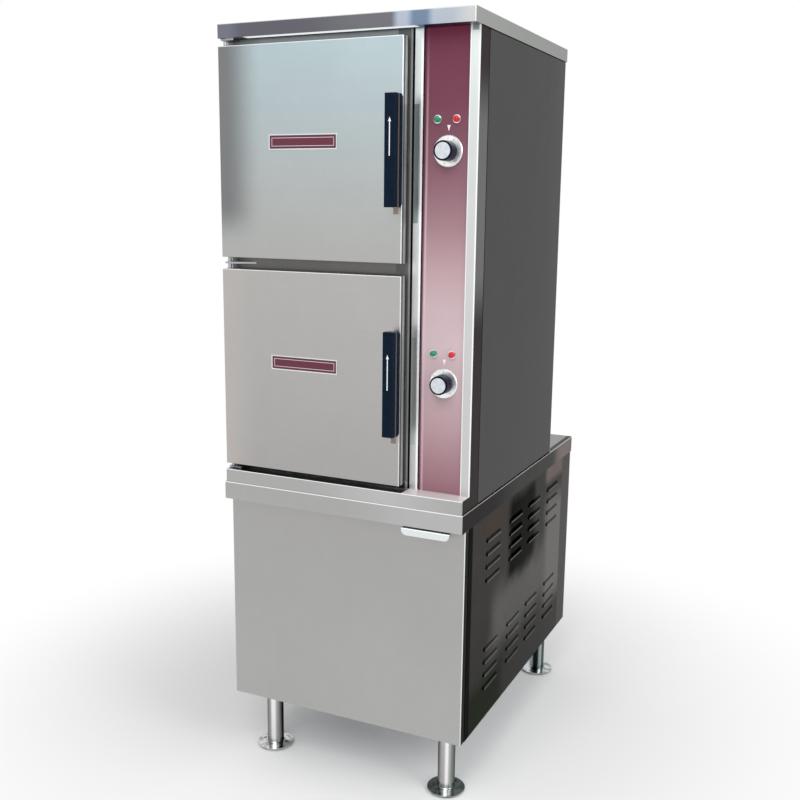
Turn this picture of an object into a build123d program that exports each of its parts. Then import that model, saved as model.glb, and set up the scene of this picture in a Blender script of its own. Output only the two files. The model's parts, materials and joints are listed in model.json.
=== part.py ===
from build123d import *
import math
import os

os.makedirs("parts", exist_ok=True)

# Sizes are in millimetres. The origin is on the floor under the middle of the whole object, +X to the
# right of someone facing the doors, +Y towards the rear and +Z up.

# Overall sizes
overall_width = 610.0
side_step = 3.0
overall_height = 1756.0
sheet = 1.5
thin_sheet = 1.2
seam = 0.8
pin_clearance = 0.05
rest_clearance = 0.3

# Legs and feet
foot_inset = 64.0
foot_front_y = -324.0
foot_rear_y = 384.0
foot_flange_r = 45.0
foot_rim = 2.5
foot_fillet = 1.5
foot_thickness = 5.5
foot_pad = 4.5
foot_pad_r = 14.0
foot_hole_r = 4.0
foot_hole_circle_r = 29.0
leg_r = 20.65
leg_wall = 1.6
leg_bottom = 12.0
foot_grip = 34.0
leg_plate = 70.0
leg_plate_thickness = 4.0
leg_bolt_r = 4.0
leg_bolt_head_r = 6.5
leg_bolt_head = 5.0
leg_bolt_length = 10.0
leg_bolt_spacing = 50.0

# Base cabinet
floor_gap = 164.0
deck_top = 717.7
band_height = 42.0
deck_front = -428.0
deck_rear = 426.0
base_rear = 423.0
base_front = -402.0
base_door_depth = 20.0
base_door_gap = 4.0
base_door_clearance = 2.0
base_door_top_gap = 3.0
base_hinge_inset = 8.0
base_hinge_depth = 11.0
base_pin_r = 3.0
base_pin_grip = 12.0
base_lug = 13.0
base_ear_side = 12.0
base_ear_front = 9.0
base_bracket_side = 7.0
base_bracket_height = 15.0
front_post_side = 15.0
rear_post_side = 77.0
post_front = 40.0
pan_wall = 20.0
panel_lap = 10.0
tab_length = 114.5
tab_inset = 26.0
tab_reach = 31.0
tab_drop = 16.0
tab_bend = 2.0
tab_corner = 12.0
catch_width = 30.0
catch_height = 40.0
catch_gap = 1.0
catch_corner = 2.0
deck_corner = 6.0
pipe_hole_gap = 2.0

# Louvres of the base sides
louvre_length = 87.0
louvre_height = 14.0
louvre_proud = 3.0
louvre_end = 4.0
louvre_columns = (-218.0, -55.0, 93.0, 253.0)
louvre_top_drop = 104.2
louvre_low_rise = 180.0
louvre_pitch = 32.5
louvre_rows = 4

# Upper cabinet
cap_front = -420.0
cap_height = 30.0
face_front = -385.0
upper_rear = 217.0
side_start = -334.0
side_lift = 2.5
ledge_height = 30.7
ledge_front = -426.0
ledge_back_lap = 4.0
trough_depth = 12.0
trough_lip = 8.0
stile_panel_gap = 1.8
stile_left_width = 20.5
stile_right_width = 22.0
stile_depth = 20.0
panel_width = 100.4
panel_recess = 3.0

# Steam compartments
cavity_side_margin = 51.5
cavity_end_margin = 50.5
cavity_rear = 160.0
insulation_side = 25.0
insulation_rear = 12.0
insulation_gap = 1.0
insulation_riser_gap = 3.0
rack_rails = 5
rack_first = 30.0
rack_top_gap = 82.0
rack_plate_over = 20.0
rack_rail = 14.0
rack_rear_gap = 33.5
rack_front_gap = 20.0

# Steam doors
door_stile_gap = 9.3
door_top_gap = 16.5
door_return = 26.0
door_rise = 12.6
door_middle_gap = 26.5
liner_inset = 12.0
liner_front_gap = 20.0
liner_corner = 16.0
liner_flange = 20.0
gasket_inset = 7.0
gasket_width = 14.0
gasket_depth = 5.0
gasket_corner = 14.0
gasket_inner_corner = 6.0
hinge_inset = 9.0
hinge_depth = 17.0
hinge_pin_r = 4.5
hinge_grip = 15.0
hinge_block = 20.0
bracket_thickness = 4.0
bracket_width = 34.0
bracket_side = 8.0
bracket_nose = 9.0
bracket_round = 3.0
gusset_width = 68.0

# Door handles and latches
handle_length = 228.0
handle_shift = 0.5
handle_reach = 40.0
handle_inset = 23.0
handle_width = 25.0
handle_front_depth = 14.0
handle_core = 5.0
handle_back_depth = 13.0
handle_lift = 16.0
handle_tail = 14.0
tail_width = 10.0
cover_round = 2.5
cover_end_round = 8.0
cover_over = 3.0
core_step = 2.0
core_over = 1.0
stem_width = 12.0
stem_height = 12.0
stem_offset = 4.0
stem_drop = 20.0
stem_slot_gap = 0.5
slide_plate = 2.5
slide_back = 10.5
hook_thickness = 4.0
hook_height = 10.0
hook_clearance = 0.5
hook_over = 2.0
strike_ear = 1.2
strike_pin_r = 3.0
strike_pin_drop = 8.0
strike_reach = 12.0
strike_gap = 0.8
strike_low = 22.0
strike_high = 12.0
strike_ear_low = 16.0
strike_ear_front = 4.0

# Badge plates
badge_shift = -11.5
badge_drop = 207.5
badge_width = 170.0
badge_height = 33.0
badge_thickness = 1.6
badge_border = 2.0
badge_corner = 1.5
badge_inner_corner = 1.0

# Controls
dial_shift = 5.7
dial_lift = 1.8
dial_r = 32.5
dial_thickness = 3.2
dial_gap = 0.8
dial_bevel = 1.4
knob_r = 21.0
knob_tip_r = 20.4
knob_reach = 32.0
knob_face_r = 16.6
knob_face_depth = 1.0
knob_round = 1.2
shaft_r = 3.175
shaft_grip = 12.0
shaft_hole_gap = 0.5
timer_width = 62.0
timer_depth = 48.0
lamp_above_dial = 64.1
lamp_shift = 2.45
lamp_spread = 21.25
lens_r = 6.7
lens_proud = 8.0
lens_round = 4.5
lamp_body_r = 5.9
lamp_body_length = 24.0
bezel_r = 8.8
bezel_thickness = 2.2

# Boiler and its fittings
tank_side_gap = 12.0
tank_drain_gap = 85.0
tank_y = 150.0
tank_wall = 3.0
tank_foot_height = 39.5
tank_dome = 40.0
tank_knuckle = 12.0
tank_foot_r = 12.0
tank_foot_inset = 40.0
tank_foot_turns = (90.0, 210.0, 330.0)
neck_r = 55.0
neck_length = 30.0
neck_rise = 115.0
heater_flange_r = 82.0
heater_flange_thickness = 12.0
heater_r = 4.0
heater_wall = 3.0
heater_spread = 30.0
heater_gap = 36.0
heater_bend_r = 17.0
heater_length = 190.0
flange_bolts = 8
flange_bolt_circle_r = 69.0
flange_bolt_head_r = 7.5
flange_bolt_head = 7.0
header_y = 190.0
header_drop = 111.7
header_rise = 86.0
header_r = 17.0
header_end = 8.0
riser_spread = 40.0
riser_r = 11.0
pipe_wall = 1.5
steam_valve_size = 40.0
steam_valve_height = 52.0
steam_valve_step = 3.0
steam_coil_length = 36.0
steam_coil_r = 16.0
steam_coil_share = 0.6
steam_port_lift = 59.5
steam_port_reach = 6.0
safety_offset = 42.0
safety_body_r = 13.0
safety_body_height = 36.0
safety_base_rise = 8.0
safety_neck = 6.0
safety_ear_inner = 4.0
safety_ear_outer = 7.0
safety_ear_half = 5.0
safety_ear_low = 7.0
safety_pin_r = 2.0
safety_pin_half = 9.0
safety_lever_length = 56.0
safety_lever_tail = 4.0
safety_lever_half = 3.5
safety_lever_round = 3.0
gauge_r = 30.0
gauge_depth = 24.0
gauge_stem = 14.0
gauge_stem_r = 6.0
gauge_rise = 8.0
probe_tank_gap = 40.0
probe_r = 20.0
probe_rise = 95.0
probe_port_inset = 14.5
probe_port_r = 8.0
probe_cap = 8.0
probe_cap_rim = 5.0
probe_rod_r = 3.0
probe_rod_offset = 8.0
probe_rod_height = 30.0
drain_rise = 30.0
drain_cavity_inset = 21.5
drain_stub = 37.0
drain_pipe_r = 16.7
drain_pipe_wall = 3.3
drain_nut_r = 24.0
drain_nut = 8.0
tee_r = 22.0
tee_collar = 6.0
drain_valve_length = 46.0
drain_valve_r = 22.0
drain_stem_r = 5.0
drain_lever_length = 96.0
drain_lever_width = 18.0
drain_lever_thickness = 4.0
drain_lever_round = 7.0
drain_boss = 4.0
drain_boss_r = 9.0
condensate_r = 12.0
condensate_y = 190.0
condensate_overlap = 2.0
condensate_front = 130.0
condensate_drop = 60.0
condensate_join = 28.0
water_drop = 100.0
water_r = 13.2
water_bore_r = 9.0
water_bore_depth = 30.0
water_nut = 6.0
water_nut_rim = 7.0
water_valve_width = 44.0
water_valve_length = 50.0
water_valve_height = 40.0
water_valve_gap = 40.0
water_coil_r = 17.0
water_coil_height = 38.0
water_stub = 27.0
gland_inset = 102.0
gland_rise = 166.0
gland_bore_r = 14.0
gland_nut_r = 23.0
gland_nut = 8.0
gland_stub = 25.0

# Control gear in the base
tray_inset = 40.0
tray_front = -285.0
tray_rear = 85.0
tray_drop = 77.7
tray_foot = 22.0
contactor_width = 75.0
contactor_height = 84.0
contactor_depth = 62.0
contactor_pitch = 100.0
contactor_drop = 60.0
contactor_cap = 8.0
contactor_cap_inset = 15.0
terminal_length = 140.0
terminal_depth = 34.0
terminal_height = 40.0
terminal_shift = -50.0
terminal_drop = 210.0
transformer_length = 80.0
transformer_depth = 58.0
transformer_height = 90.0
transformer_shift = 90.0
transformer_drop = 200.0

# Places worked out from the sizes above
half_width = overall_width / 2
half_body = half_width - side_step
foot_x = half_body - foot_inset
base_hinge_x = -half_body + base_hinge_inset
base_hinge_y = base_front + base_hinge_depth
tab_right = half_body - tab_inset
tab_left = tab_right - tab_length
deck_under = deck_top - sheet
band_bottom = deck_top - band_height
cap_under = overall_height - cap_height
ledge_top = deck_top + ledge_height
base_door_top = band_bottom - base_door_top_gap
base_door_bottom = floor_gap + base_door_clearance
post_y = base_front + base_door_depth + base_door_gap
pan_top = floor_gap + sheet
louvre_top_row = deck_top - louvre_top_drop
louvre_low_row = floor_gap + louvre_low_rise
header_z = deck_top - header_drop
tank_top = header_z - header_rise
tank_bottom = pan_top + tank_foot_height
neck_z = tank_bottom + neck_rise
drain_z = tank_bottom + drain_rise
probe_bottom = tank_bottom + probe_rise
probe_height = tank_top - probe_bottom
water_z = tank_top - water_drop
gland_z = floor_gap + gland_rise
tray_top = deck_top - tray_drop
drain_tip = base_rear + drain_stub
water_tip = base_rear + water_stub
gland_tip = base_rear + gland_stub
frame_back = face_front + sheet
handle_front = cap_front - handle_reach
rack_length = cavity_rear - frame_back - rack_front_gap - rack_rear_gap
panel_front = face_front + panel_recess
panel_back = panel_front + sheet
panel_right = half_body - stile_right_width
panel_left = panel_right - panel_width
panel_x = (panel_left + panel_right) / 2
stile_left = panel_left - stile_panel_gap - stile_left_width
door_left = -half_width
door_right = stile_left - door_stile_gap
door_height = (cap_under - door_top_gap - ledge_top - door_rise - door_middle_gap) / 2
hinge_x = door_left + hinge_inset
hinge_y = cap_front + hinge_depth
handle_rise = (door_height - handle_length) / 2 + handle_shift
handle_left = door_right - handle_inset
badge_rise = door_height - badge_drop
dial_x = panel_x + dial_shift
dial_rise = door_height / 2 + dial_lift
lamp_rise = dial_rise + lamp_above_dial
green_x = panel_x + lamp_shift - lamp_spread
red_x = panel_x + lamp_shift + lamp_spread
lower_door = ledge_top + door_rise
upper_door = lower_door + door_height + door_middle_gap
levels = {"upper": upper_door, "lower": lower_door}
cavity_x = (door_left + door_right) / 2
cavity_width = door_right - door_left - 2 * cavity_side_margin
cavity_height = door_height - 2 * cavity_end_margin
rack_pitch = (cavity_height - rack_first - rack_top_gap) / (rack_rails - 1)
badge_x = cavity_x + badge_shift
cavity_left = cavity_x - cavity_width / 2
cavity_right = cavity_x + cavity_width / 2
drain_x = cavity_right - drain_cavity_inset
condensate_x = drain_x
tank_r = (half_body + drain_x - tank_side_gap - tank_drain_gap) / 2
tank_x = -half_body + tank_side_gap + tank_r
tank_foot_circle_r = tank_r - tank_foot_inset
probe_x = tank_x + tank_r + probe_tank_gap
gland_x = half_body - gland_inset
tray_x = half_body - tray_inset
steam_port_rise = door_height / 2 + steam_port_lift
floors = {level: z + cavity_end_margin for level, z in levels.items()}
leg_inner_r = leg_r - leg_wall
feet_at = [(sx * foot_x, y) for y in (foot_front_y, foot_rear_y) for sx in (-1, 1)]
foot_turns = (8.0, 65.0, 20.0, 80.0)
riser_x = {"upper": tank_x + riser_spread, "lower": tank_x - riser_spread}
valve_bottom = header_z + header_r
valve_top = valve_bottom + steam_valve_height
neck_front = tank_y - tank_r - neck_length

pieces = {}


def block(x0, x1, y0, y1, z0, z1, mode=Mode.ADD):
    """Add or cut an upright block between two corners in the part being built."""
    with Locations(((x0 + x1) / 2, (y0 + y1) / 2, (z0 + z1) / 2)):
        Box(x1 - x0, y1 - y0, z1 - z0, mode=mode)


def rod(start, end, radius, mode=Mode.ADD):
    """Add or cut a round rod between two points in the part being built."""
    line = Vector(*end) - Vector(*start)
    with Locations(Plane(origin=start, z_dir=line)):
        Cylinder(radius, line.length, align=(Align.CENTER, Align.CENTER, Align.MIN), mode=mode)


def bent_tube(points, bend, radius, wall):
    """Return a tube that follows straight runs joined by arcs of the bend radius."""
    with BuildPart() as bent:
        with BuildLine() as path:
            FilletPolyline(*points, radius=bend)
        with BuildSketch(Plane(origin=path.line @ 0, z_dir=path.line % 0)):
            Circle(radius)
            Circle(radius - wall, mode=Mode.SUBTRACT)
        sweep(path=path.line)
    return bent.part


# Feet: flanged floor plates with a neck that slides into the leg
with BuildPart() as feet:
    for (x, y), turn in zip(feet_at, foot_turns):
        with BuildSketch(Plane(origin=(x, y, 0), x_dir=(1, 0, 0), z_dir=(0, -1, 0))):
            neck_top = leg_bottom + foot_grip
            neck = leg_inner_r - pin_clearance
            with BuildLine():
                Polyline((0, 0), (foot_pad_r, 0), (foot_pad_r, foot_pad), (foot_flange_r, foot_pad),
                         (foot_flange_r, foot_pad + foot_rim),
                         (neck + foot_fillet, foot_pad + foot_thickness),
                         (neck, foot_pad + foot_thickness + foot_fillet),
                         (neck, neck_top), (0, neck_top), (0, 0))
            make_face()
        revolve(axis=Axis((x, y, 0), (0, 0, 1)))
        with Locations((x, y, 0)):
            with PolarLocations(foot_hole_circle_r, 2, start_angle=turn):
                Cylinder(foot_hole_r, 4 * foot_thickness, mode=Mode.SUBTRACT)
pieces["feet"] = feet

# Legs: round tubes, each welded to a square plate under the floor pan
with BuildPart() as legs:
    for x, y in feet_at:
        rod((x, y, leg_bottom), (x, y, floor_gap), leg_r)
        block(x - leg_plate / 2, x + leg_plate / 2, y - leg_plate / 2, y + leg_plate / 2,
              floor_gap - leg_plate_thickness, floor_gap)
        rod((x, y, leg_bottom), (x, y, floor_gap - leg_plate_thickness), leg_inner_r, mode=Mode.SUBTRACT)
        with Locations((x, y, floor_gap - leg_plate_thickness / 2)):
            with GridLocations(leg_bolt_spacing, leg_bolt_spacing, 2, 2):
                Cylinder(leg_bolt_r + pin_clearance, 2 * leg_plate_thickness, mode=Mode.SUBTRACT)
pieces["legs"] = legs

# Leg bolts: four through each leg plate and the floor pan
with BuildPart() as leg_bolts:
    for x, y in feet_at:
        with Locations((x, y, floor_gap - leg_plate_thickness)):
            with GridLocations(leg_bolt_spacing, leg_bolt_spacing, 2, 2):
                Cylinder(leg_bolt_r, leg_bolt_length, align=(Align.CENTER, Align.CENTER, Align.MIN))
                Cylinder(leg_bolt_head_r, leg_bolt_head, align=(Align.CENTER, Align.CENTER, Align.MAX))
pieces["leg_bolts"] = leg_bolts

# Floor pan: folded tray with an ear under the hinge side of the base door
with BuildPart() as floor_pan:
    pan_half = half_body - sheet - seam
    pan_front = post_y + sheet + seam
    pan_rear = base_rear - sheet
    block(-pan_half, pan_half, pan_front, pan_rear, floor_gap, floor_gap + pan_wall)
    block(-pan_half + sheet, pan_half - sheet, pan_front + sheet, pan_rear - sheet,
          pan_top, floor_gap + 2 * pan_wall, mode=Mode.SUBTRACT)
    block(-half_body + sheet, base_hinge_x + base_ear_side, base_hinge_y - base_ear_front,
          pan_front, floor_gap, pan_top)
    rod((base_hinge_x, base_hinge_y, 0), (base_hinge_x, base_hinge_y, floor_gap + pan_wall),
        base_pin_r + pin_clearance, mode=Mode.SUBTRACT)
    for x, y in feet_at:
        with Locations((x, y, pan_top)):
            with GridLocations(leg_bolt_spacing, leg_bolt_spacing, 2, 2):
                Cylinder(leg_bolt_r + pin_clearance, 4 * sheet, mode=Mode.SUBTRACT)
pieces["floor_pan"] = floor_pan

# Corner posts: folded angles, flush with the side panels, narrow in front and wide at the rear
with BuildPart() as corner_posts:
    for side in (-1, 1):
        outer = side * half_body
        inner = side * (half_body - sheet)
        low, high = sorted((outer, inner))
        block(low, high, post_y, post_y + front_post_side, floor_gap, deck_under)
        block(low, high, base_rear - rear_post_side, base_rear - sheet, floor_gap, deck_under)
        low, high = sorted((inner, side * (half_body - post_front)))
        block(low, high, post_y, post_y + sheet, pan_top, deck_under)
pieces["corner_posts"] = corner_posts


def base_side(side):
    """Return the louvred side panel of the base on the right (1) or on the left (-1)."""
    outer = side * half_body
    inner = side * (half_body - sheet)
    low, high = sorted((outer, inner))
    lap_low, lap_high = sorted((inner, side * (half_body - 2 * sheet)))
    front = post_y + front_post_side + seam
    rear = base_rear - rear_post_side - seam
    half_louvre = louvre_length / 2
    lip = outer + side * louvre_proud
    places = [(0, y, top - row * louvre_pitch) for y in louvre_columns
              for top in (louvre_top_row, louvre_low_row) for row in range(louvre_rows)]
    with BuildPart() as hood:
        with BuildSketch(Plane.XZ):
            with BuildLine():
                Polyline((inner, louvre_height / 2), (outer, louvre_height / 2),
                         (lip, -louvre_height / 4), (lip, -louvre_height / 2),
                         (lip - side * thin_sheet, -louvre_height / 2),
                         (lip - side * thin_sheet, -louvre_height / 4), (inner, louvre_height / 2))
            make_face()
        extrude(amount=half_louvre, both=True)
        for end in (-1, 1):
            with BuildSketch(Plane.XZ.offset(end * half_louvre)):
                with BuildLine():
                    Polyline((outer, louvre_height / 2), (lip, -louvre_height / 4),
                             (lip, -louvre_height / 2), (outer, -louvre_height / 2),
                             (outer, louvre_height / 2))
                make_face()
            extrude(amount=-end * thin_sheet)
    with BuildPart() as panel:
        block(low, high, front, rear, floor_gap, deck_under)
        block(lap_low, lap_high, front - panel_lap, front + panel_lap, floor_gap + pan_wall, deck_under)
        block(lap_low, lap_high, rear - panel_lap, rear + panel_lap, floor_gap + pan_wall, deck_under)
        with Locations(*[(outer, y, z - louvre_height / 8) for _, y, z in places]):
            Box(4 * sheet, louvre_length - 2 * louvre_end, 0.75 * louvre_height, mode=Mode.SUBTRACT)
        with Locations(*places):
            add(hood.part)
    return panel


pieces["base_side_left"] = base_side(-1)
pieces["base_side_right"] = base_side(1)

# Base rear panel: flat sheet with the holes of the service fittings
with BuildPart() as base_rear_panel:
    block(-half_body, half_body, base_rear - sheet, base_rear, floor_gap, deck_under)
    for x, z, radius in ((tank_x, water_z, water_r), (drain_x, drain_z, drain_pipe_r),
                         (gland_x, gland_z, gland_bore_r + sheet)):
        rod((x, base_rear - 2 * sheet, z), (x, base_rear + sheet, z), radius + rest_clearance,
            mode=Mode.SUBTRACT)
pieces["base_rear_panel"] = base_rear_panel

# Deck: the flat top of the base with its turned-down band
with BuildPart() as deck:
    block(-half_width, half_width, deck_front, deck_rear, band_bottom, deck_top)
    fillet(deck.edges().filter_by(Axis.Z).group_by(Axis.Y)[-1], radius=deck_corner)
    block(-half_width + sheet, half_width - sheet, deck_front + sheet, deck_rear - sheet,
          band_bottom - sheet, deck_under, mode=Mode.SUBTRACT)
    for x in riser_x.values():
        rod((x, header_y, deck_under - sheet), (x, header_y, deck_top + sheet), riser_r + pipe_hole_gap,
            mode=Mode.SUBTRACT)
    rod((drain_x, tank_y, deck_under - sheet), (drain_x, tank_y, deck_top + sheet),
        drain_pipe_r + pipe_hole_gap, mode=Mode.SUBTRACT)
pieces["deck"] = deck

# Base door: shallow folded pan that turns on two pins, with a pull tab bent out and down in front
with BuildPart() as base_door:
    block(-half_body, half_body, base_front, base_front + base_door_depth, base_door_bottom, base_door_top)
    block(-half_body + sheet, half_body - sheet, base_front + sheet, base_front + 2 * base_door_depth,
          base_door_bottom + sheet, base_door_top - sheet, mode=Mode.SUBTRACT)
    for z in (base_door_bottom + sheet, base_door_top - sheet - base_pin_grip):
        block(base_hinge_x - base_lug / 2, base_hinge_x + base_lug / 2, base_front + sheet,
              base_hinge_y + base_lug / 2, z, z + base_pin_grip)
    rod((base_hinge_x, base_hinge_y, 0), (base_hinge_x, base_hinge_y, deck_top), base_pin_r + pin_clearance,
        mode=Mode.SUBTRACT)
    with BuildPart() as tab:
        block(tab_left, tab_right, base_front - tab_reach, base_front + sheet, base_door_top - tab_drop,
              base_door_top)
        block(tab_left - 1, tab_right + 1, base_front - tab_reach + sheet, base_front + 2 * sheet,
              base_door_top - tab_drop - 1, base_door_top - sheet, mode=Mode.SUBTRACT)
        fillet(tab.edges().filter_by(Axis.X).group_by(Axis.Y)[0].sort_by(Axis.Z)[-1], radius=tab_bend)
        fillet(tab.edges().filter_by(Axis.Y).group_by(Axis.Z)[0], radius=tab_corner)
    add(tab.part)
pieces["base_door"] = base_door

# Base door hinge: lower pin in the floor pan's ear, upper pin in a bracket on the corner post
with BuildPart() as base_door_hinge:
    pin_top = base_door_bottom + base_pin_grip
    rod((base_hinge_x, base_hinge_y, floor_gap), (base_hinge_x, base_hinge_y, pin_top), base_pin_r)
    bracket_z = base_door_top + (base_door_top_gap - sheet) / 2
    block(base_hinge_x - base_bracket_side, base_hinge_x + base_ear_side, base_hinge_y - base_ear_front,
          post_y, bracket_z, bracket_z + sheet)
    block(base_hinge_x - base_bracket_side, base_hinge_x + base_ear_side, post_y - sheet, post_y,
          bracket_z, bracket_z + base_bracket_height)
    rod((base_hinge_x, base_hinge_y, base_door_top - base_pin_grip),
        (base_hinge_x, base_hinge_y, bracket_z + 2 * sheet), base_pin_r)
pieces["base_door_hinge"] = base_door_hinge

# Base door catch: magnetic block on the right-hand post
with BuildPart() as base_door_catch:
    catch_right = half_body - 3 * sheet
    block(catch_right - catch_width, catch_right, base_front + sheet + catch_gap, post_y,
          base_door_top - 2 * catch_height, base_door_top - catch_height)
    fillet(base_door_catch.edges().filter_by(Axis.Z), radius=catch_corner)
pieces["base_door_catch"] = base_door_catch


def tank_form(inset):
    """Return the tank's outer form as one solid, moved inwards by the inset."""
    r = tank_r - inset
    low = tank_bottom + inset
    dome = tank_dome - inset
    dome_out, dome_up = 0.64, 0.68
    bend = 0.3 * tank_knuckle
    with BuildPart() as form:
        with BuildSketch(Plane(origin=(tank_x, tank_y, 0), x_dir=(1, 0, 0), z_dir=(0, -1, 0))):
            with BuildLine():
                Line((0, low), (0, tank_top + dome))
                ThreePointArc((0, tank_top + dome), (r * dome_out, tank_top + dome * dome_up), (r, tank_top))
                Line((r, tank_top), (r, low + tank_knuckle))
                ThreePointArc((r, low + tank_knuckle), (r - bend, low + bend), (r - tank_knuckle, low))
                Line((r - tank_knuckle, low), (0, low))
            make_face()
        revolve(axis=Axis((tank_x, tank_y, 0), (0, 0, 1)))
    return form.part


# Boiler tank: welded shell with domed ends, a round neck for the heaters and three feet
with BuildPart() as boiler_tank:
    add(tank_form(0))
    rod((tank_x, tank_y, neck_z), (tank_x, neck_front, neck_z), neck_r)
    for turn in tank_foot_turns:
        foot_place = (tank_x + tank_foot_circle_r * math.cos(math.radians(turn)),
                      tank_y + tank_foot_circle_r * math.sin(math.radians(turn)))
        rod((*foot_place, pan_top), (*foot_place, tank_bottom + tank_wall / 2), tank_foot_r)
    add(tank_form(tank_wall), mode=Mode.SUBTRACT)
    rod((tank_x, tank_y, neck_z), (tank_x, neck_front - 1, neck_z), neck_r - tank_wall, mode=Mode.SUBTRACT)
pieces["boiler_tank"] = boiler_tank

# Heater assembly: bolted flange on the tank's neck and the bent elements that it carries
with BuildPart() as heater_assembly:
    flange_front = neck_front - heater_flange_thickness
    rod((tank_x, neck_front, neck_z), (tank_x, flange_front, neck_z), heater_flange_r)
    with Locations(Plane(origin=(tank_x, flange_front, neck_z), z_dir=(0, -1, 0))):
        with PolarLocations(flange_bolt_circle_r, flange_bolts):
            Cylinder(flange_bolt_head_r, flange_bolt_head, align=(Align.CENTER, Align.CENTER, Align.MIN))
    for offset_x in (-heater_spread, 0, heater_spread):
        x = tank_x + offset_x
        far = neck_front + heater_length
        low, high = neck_z - heater_gap / 2, neck_z + heater_gap / 2
        add(bent_tube([(x, neck_front, low), (x, far, low), (x, far, high), (x, neck_front, high)],
                      heater_bend_r, heater_r, heater_wall))
pieces["heater_assembly"] = heater_assembly

# Level probe chamber: upright tube beside the tank on two short pipes, with probes on its cap
with BuildPart() as level_probe:
    rod((probe_x, tank_y, probe_bottom), (probe_x, tank_y, probe_bottom + probe_height), probe_r)
    for z in (probe_bottom + probe_port_inset, probe_bottom + probe_height - probe_port_inset):
        rod((tank_x + tank_r, tank_y, z), (probe_x, tank_y, z), probe_port_r)
    rod((tank_x, tank_y, probe_bottom - 1), (tank_x, tank_y, probe_bottom + probe_height + 1), tank_r,
        mode=Mode.SUBTRACT)
    lid_z = probe_bottom + probe_height
    rod((probe_x, tank_y, lid_z), (probe_x, tank_y, lid_z + probe_cap), probe_r + probe_cap_rim)
    for x in (probe_x - probe_rod_offset, probe_x + probe_rod_offset):
        rod((x, tank_y, lid_z + probe_cap), (x, tank_y, lid_z + probe_rod_height), probe_rod_r)
pieces["level_probe"] = level_probe

# Compartment pipes: steam header on the tank's dome, a riser to each compartment, and the condensate
# pipe from the upper compartment's floor, behind the lower one, into the drain pipe
header_left = riser_x["lower"] - header_r - header_end
header_right = riser_x["upper"] + header_r + header_end
with BuildPart() as compartment_pipes:
    rod((header_left, header_y, header_z), (header_right, header_y, header_z), header_r)
    rod((tank_x, header_y, tank_top), (tank_x, header_y, header_z), header_r)
    add(tank_form(0), mode=Mode.SUBTRACT)
    for level, z in levels.items():
        x = riser_x[level]
        port_z = z + steam_port_rise
        add(bent_tube([(x, header_y, valve_top), (x, header_y, port_z),
                       (x, cavity_rear - steam_port_reach, port_z)], 2 * riser_r, riser_r, pipe_wall))
    turn_z = floors["upper"] - condensate_drop
    join_z = deck_top + condensate_join
    add(bent_tube([(condensate_x, condensate_front, floors["upper"] - sheet),
                   (condensate_x, condensate_front, turn_z), (condensate_x, condensate_y, turn_z),
                   (condensate_x, condensate_y, join_z),
                   (condensate_x, tank_y + drain_pipe_r - condensate_overlap, join_z)],
                  1.5 * condensate_r, condensate_r, pipe_wall))
    rod((drain_x, tank_y, drain_z), (drain_x, tank_y, floors["lower"] - sheet), drain_pipe_r,
        mode=Mode.SUBTRACT)
pieces["compartment_pipes"] = compartment_pipes

# Steam valves: one solenoid valve for each compartment, coil towards the front
with BuildPart() as steam_valves:
    half_steam = steam_valve_size / 2
    coil_z = valve_bottom + steam_coil_share * steam_valve_height
    for x in riser_x.values():
        block(x - half_steam, x + half_steam, header_y - half_steam,
              header_y + half_steam - steam_valve_step, valve_bottom, valve_top)
        rod((x, header_y - half_steam, coil_z), (x, header_y - half_steam - steam_coil_length, coil_z),
            steam_coil_r)
pieces["steam_valves"] = steam_valves

# Boiler trim: safety valve on the tank's dome with ears and pin for its test lever, and the pressure
# gauge on a stem at the front of the header
safety_x = tank_x - safety_offset
safety_y = tank_y - safety_offset
safety_base = tank_top + safety_base_rise
safety_pin_z = tank_top + tank_dome + safety_body_height
with BuildPart() as boiler_trim:
    rod((safety_x, safety_y, safety_base), (safety_x, safety_y, safety_pin_z - safety_neck), safety_body_r)
    add(tank_form(0), mode=Mode.SUBTRACT)
    for side in (-1, 1):
        y0, y1 = sorted((safety_y + side * safety_ear_inner, safety_y + side * safety_ear_outer))
        block(safety_x - safety_ear_half, safety_x + safety_ear_half, y0, y1,
              safety_pin_z - safety_ear_low, safety_pin_z + safety_ear_half)
    rod((safety_x, safety_y - safety_pin_half, safety_pin_z),
        (safety_x, safety_y + safety_pin_half, safety_pin_z), safety_pin_r)
    gauge_back = header_y - header_r - gauge_stem
    gauge_z = header_z + gauge_rise
    rod((tank_x, header_y - header_r, gauge_z), (tank_x, gauge_back, gauge_z), gauge_stem_r)
    rod((tank_x, gauge_back, gauge_z), (tank_x, gauge_back - gauge_depth, gauge_z), gauge_r)
    rod((header_left, header_y, header_z), (header_right, header_y, header_z), header_r,
        mode=Mode.SUBTRACT)
pieces["boiler_trim"] = boiler_trim

with BuildPart() as safety_lever:
    block(safety_x - safety_lever_tail, safety_x + safety_lever_length,
          safety_y - safety_lever_half, safety_y + safety_lever_half,
          safety_pin_z - safety_lever_half, safety_pin_z + safety_lever_half)
    rod((safety_x, safety_y - safety_pin_half, safety_pin_z),
        (safety_x, safety_y + safety_pin_half, safety_pin_z), safety_pin_r + pin_clearance,
        mode=Mode.SUBTRACT)
    fillet(safety_lever.edges().filter_by(Axis.Y).group_by(Axis.X)[-1], radius=safety_lever_round)
pieces["safety_lever"] = safety_lever

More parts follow.
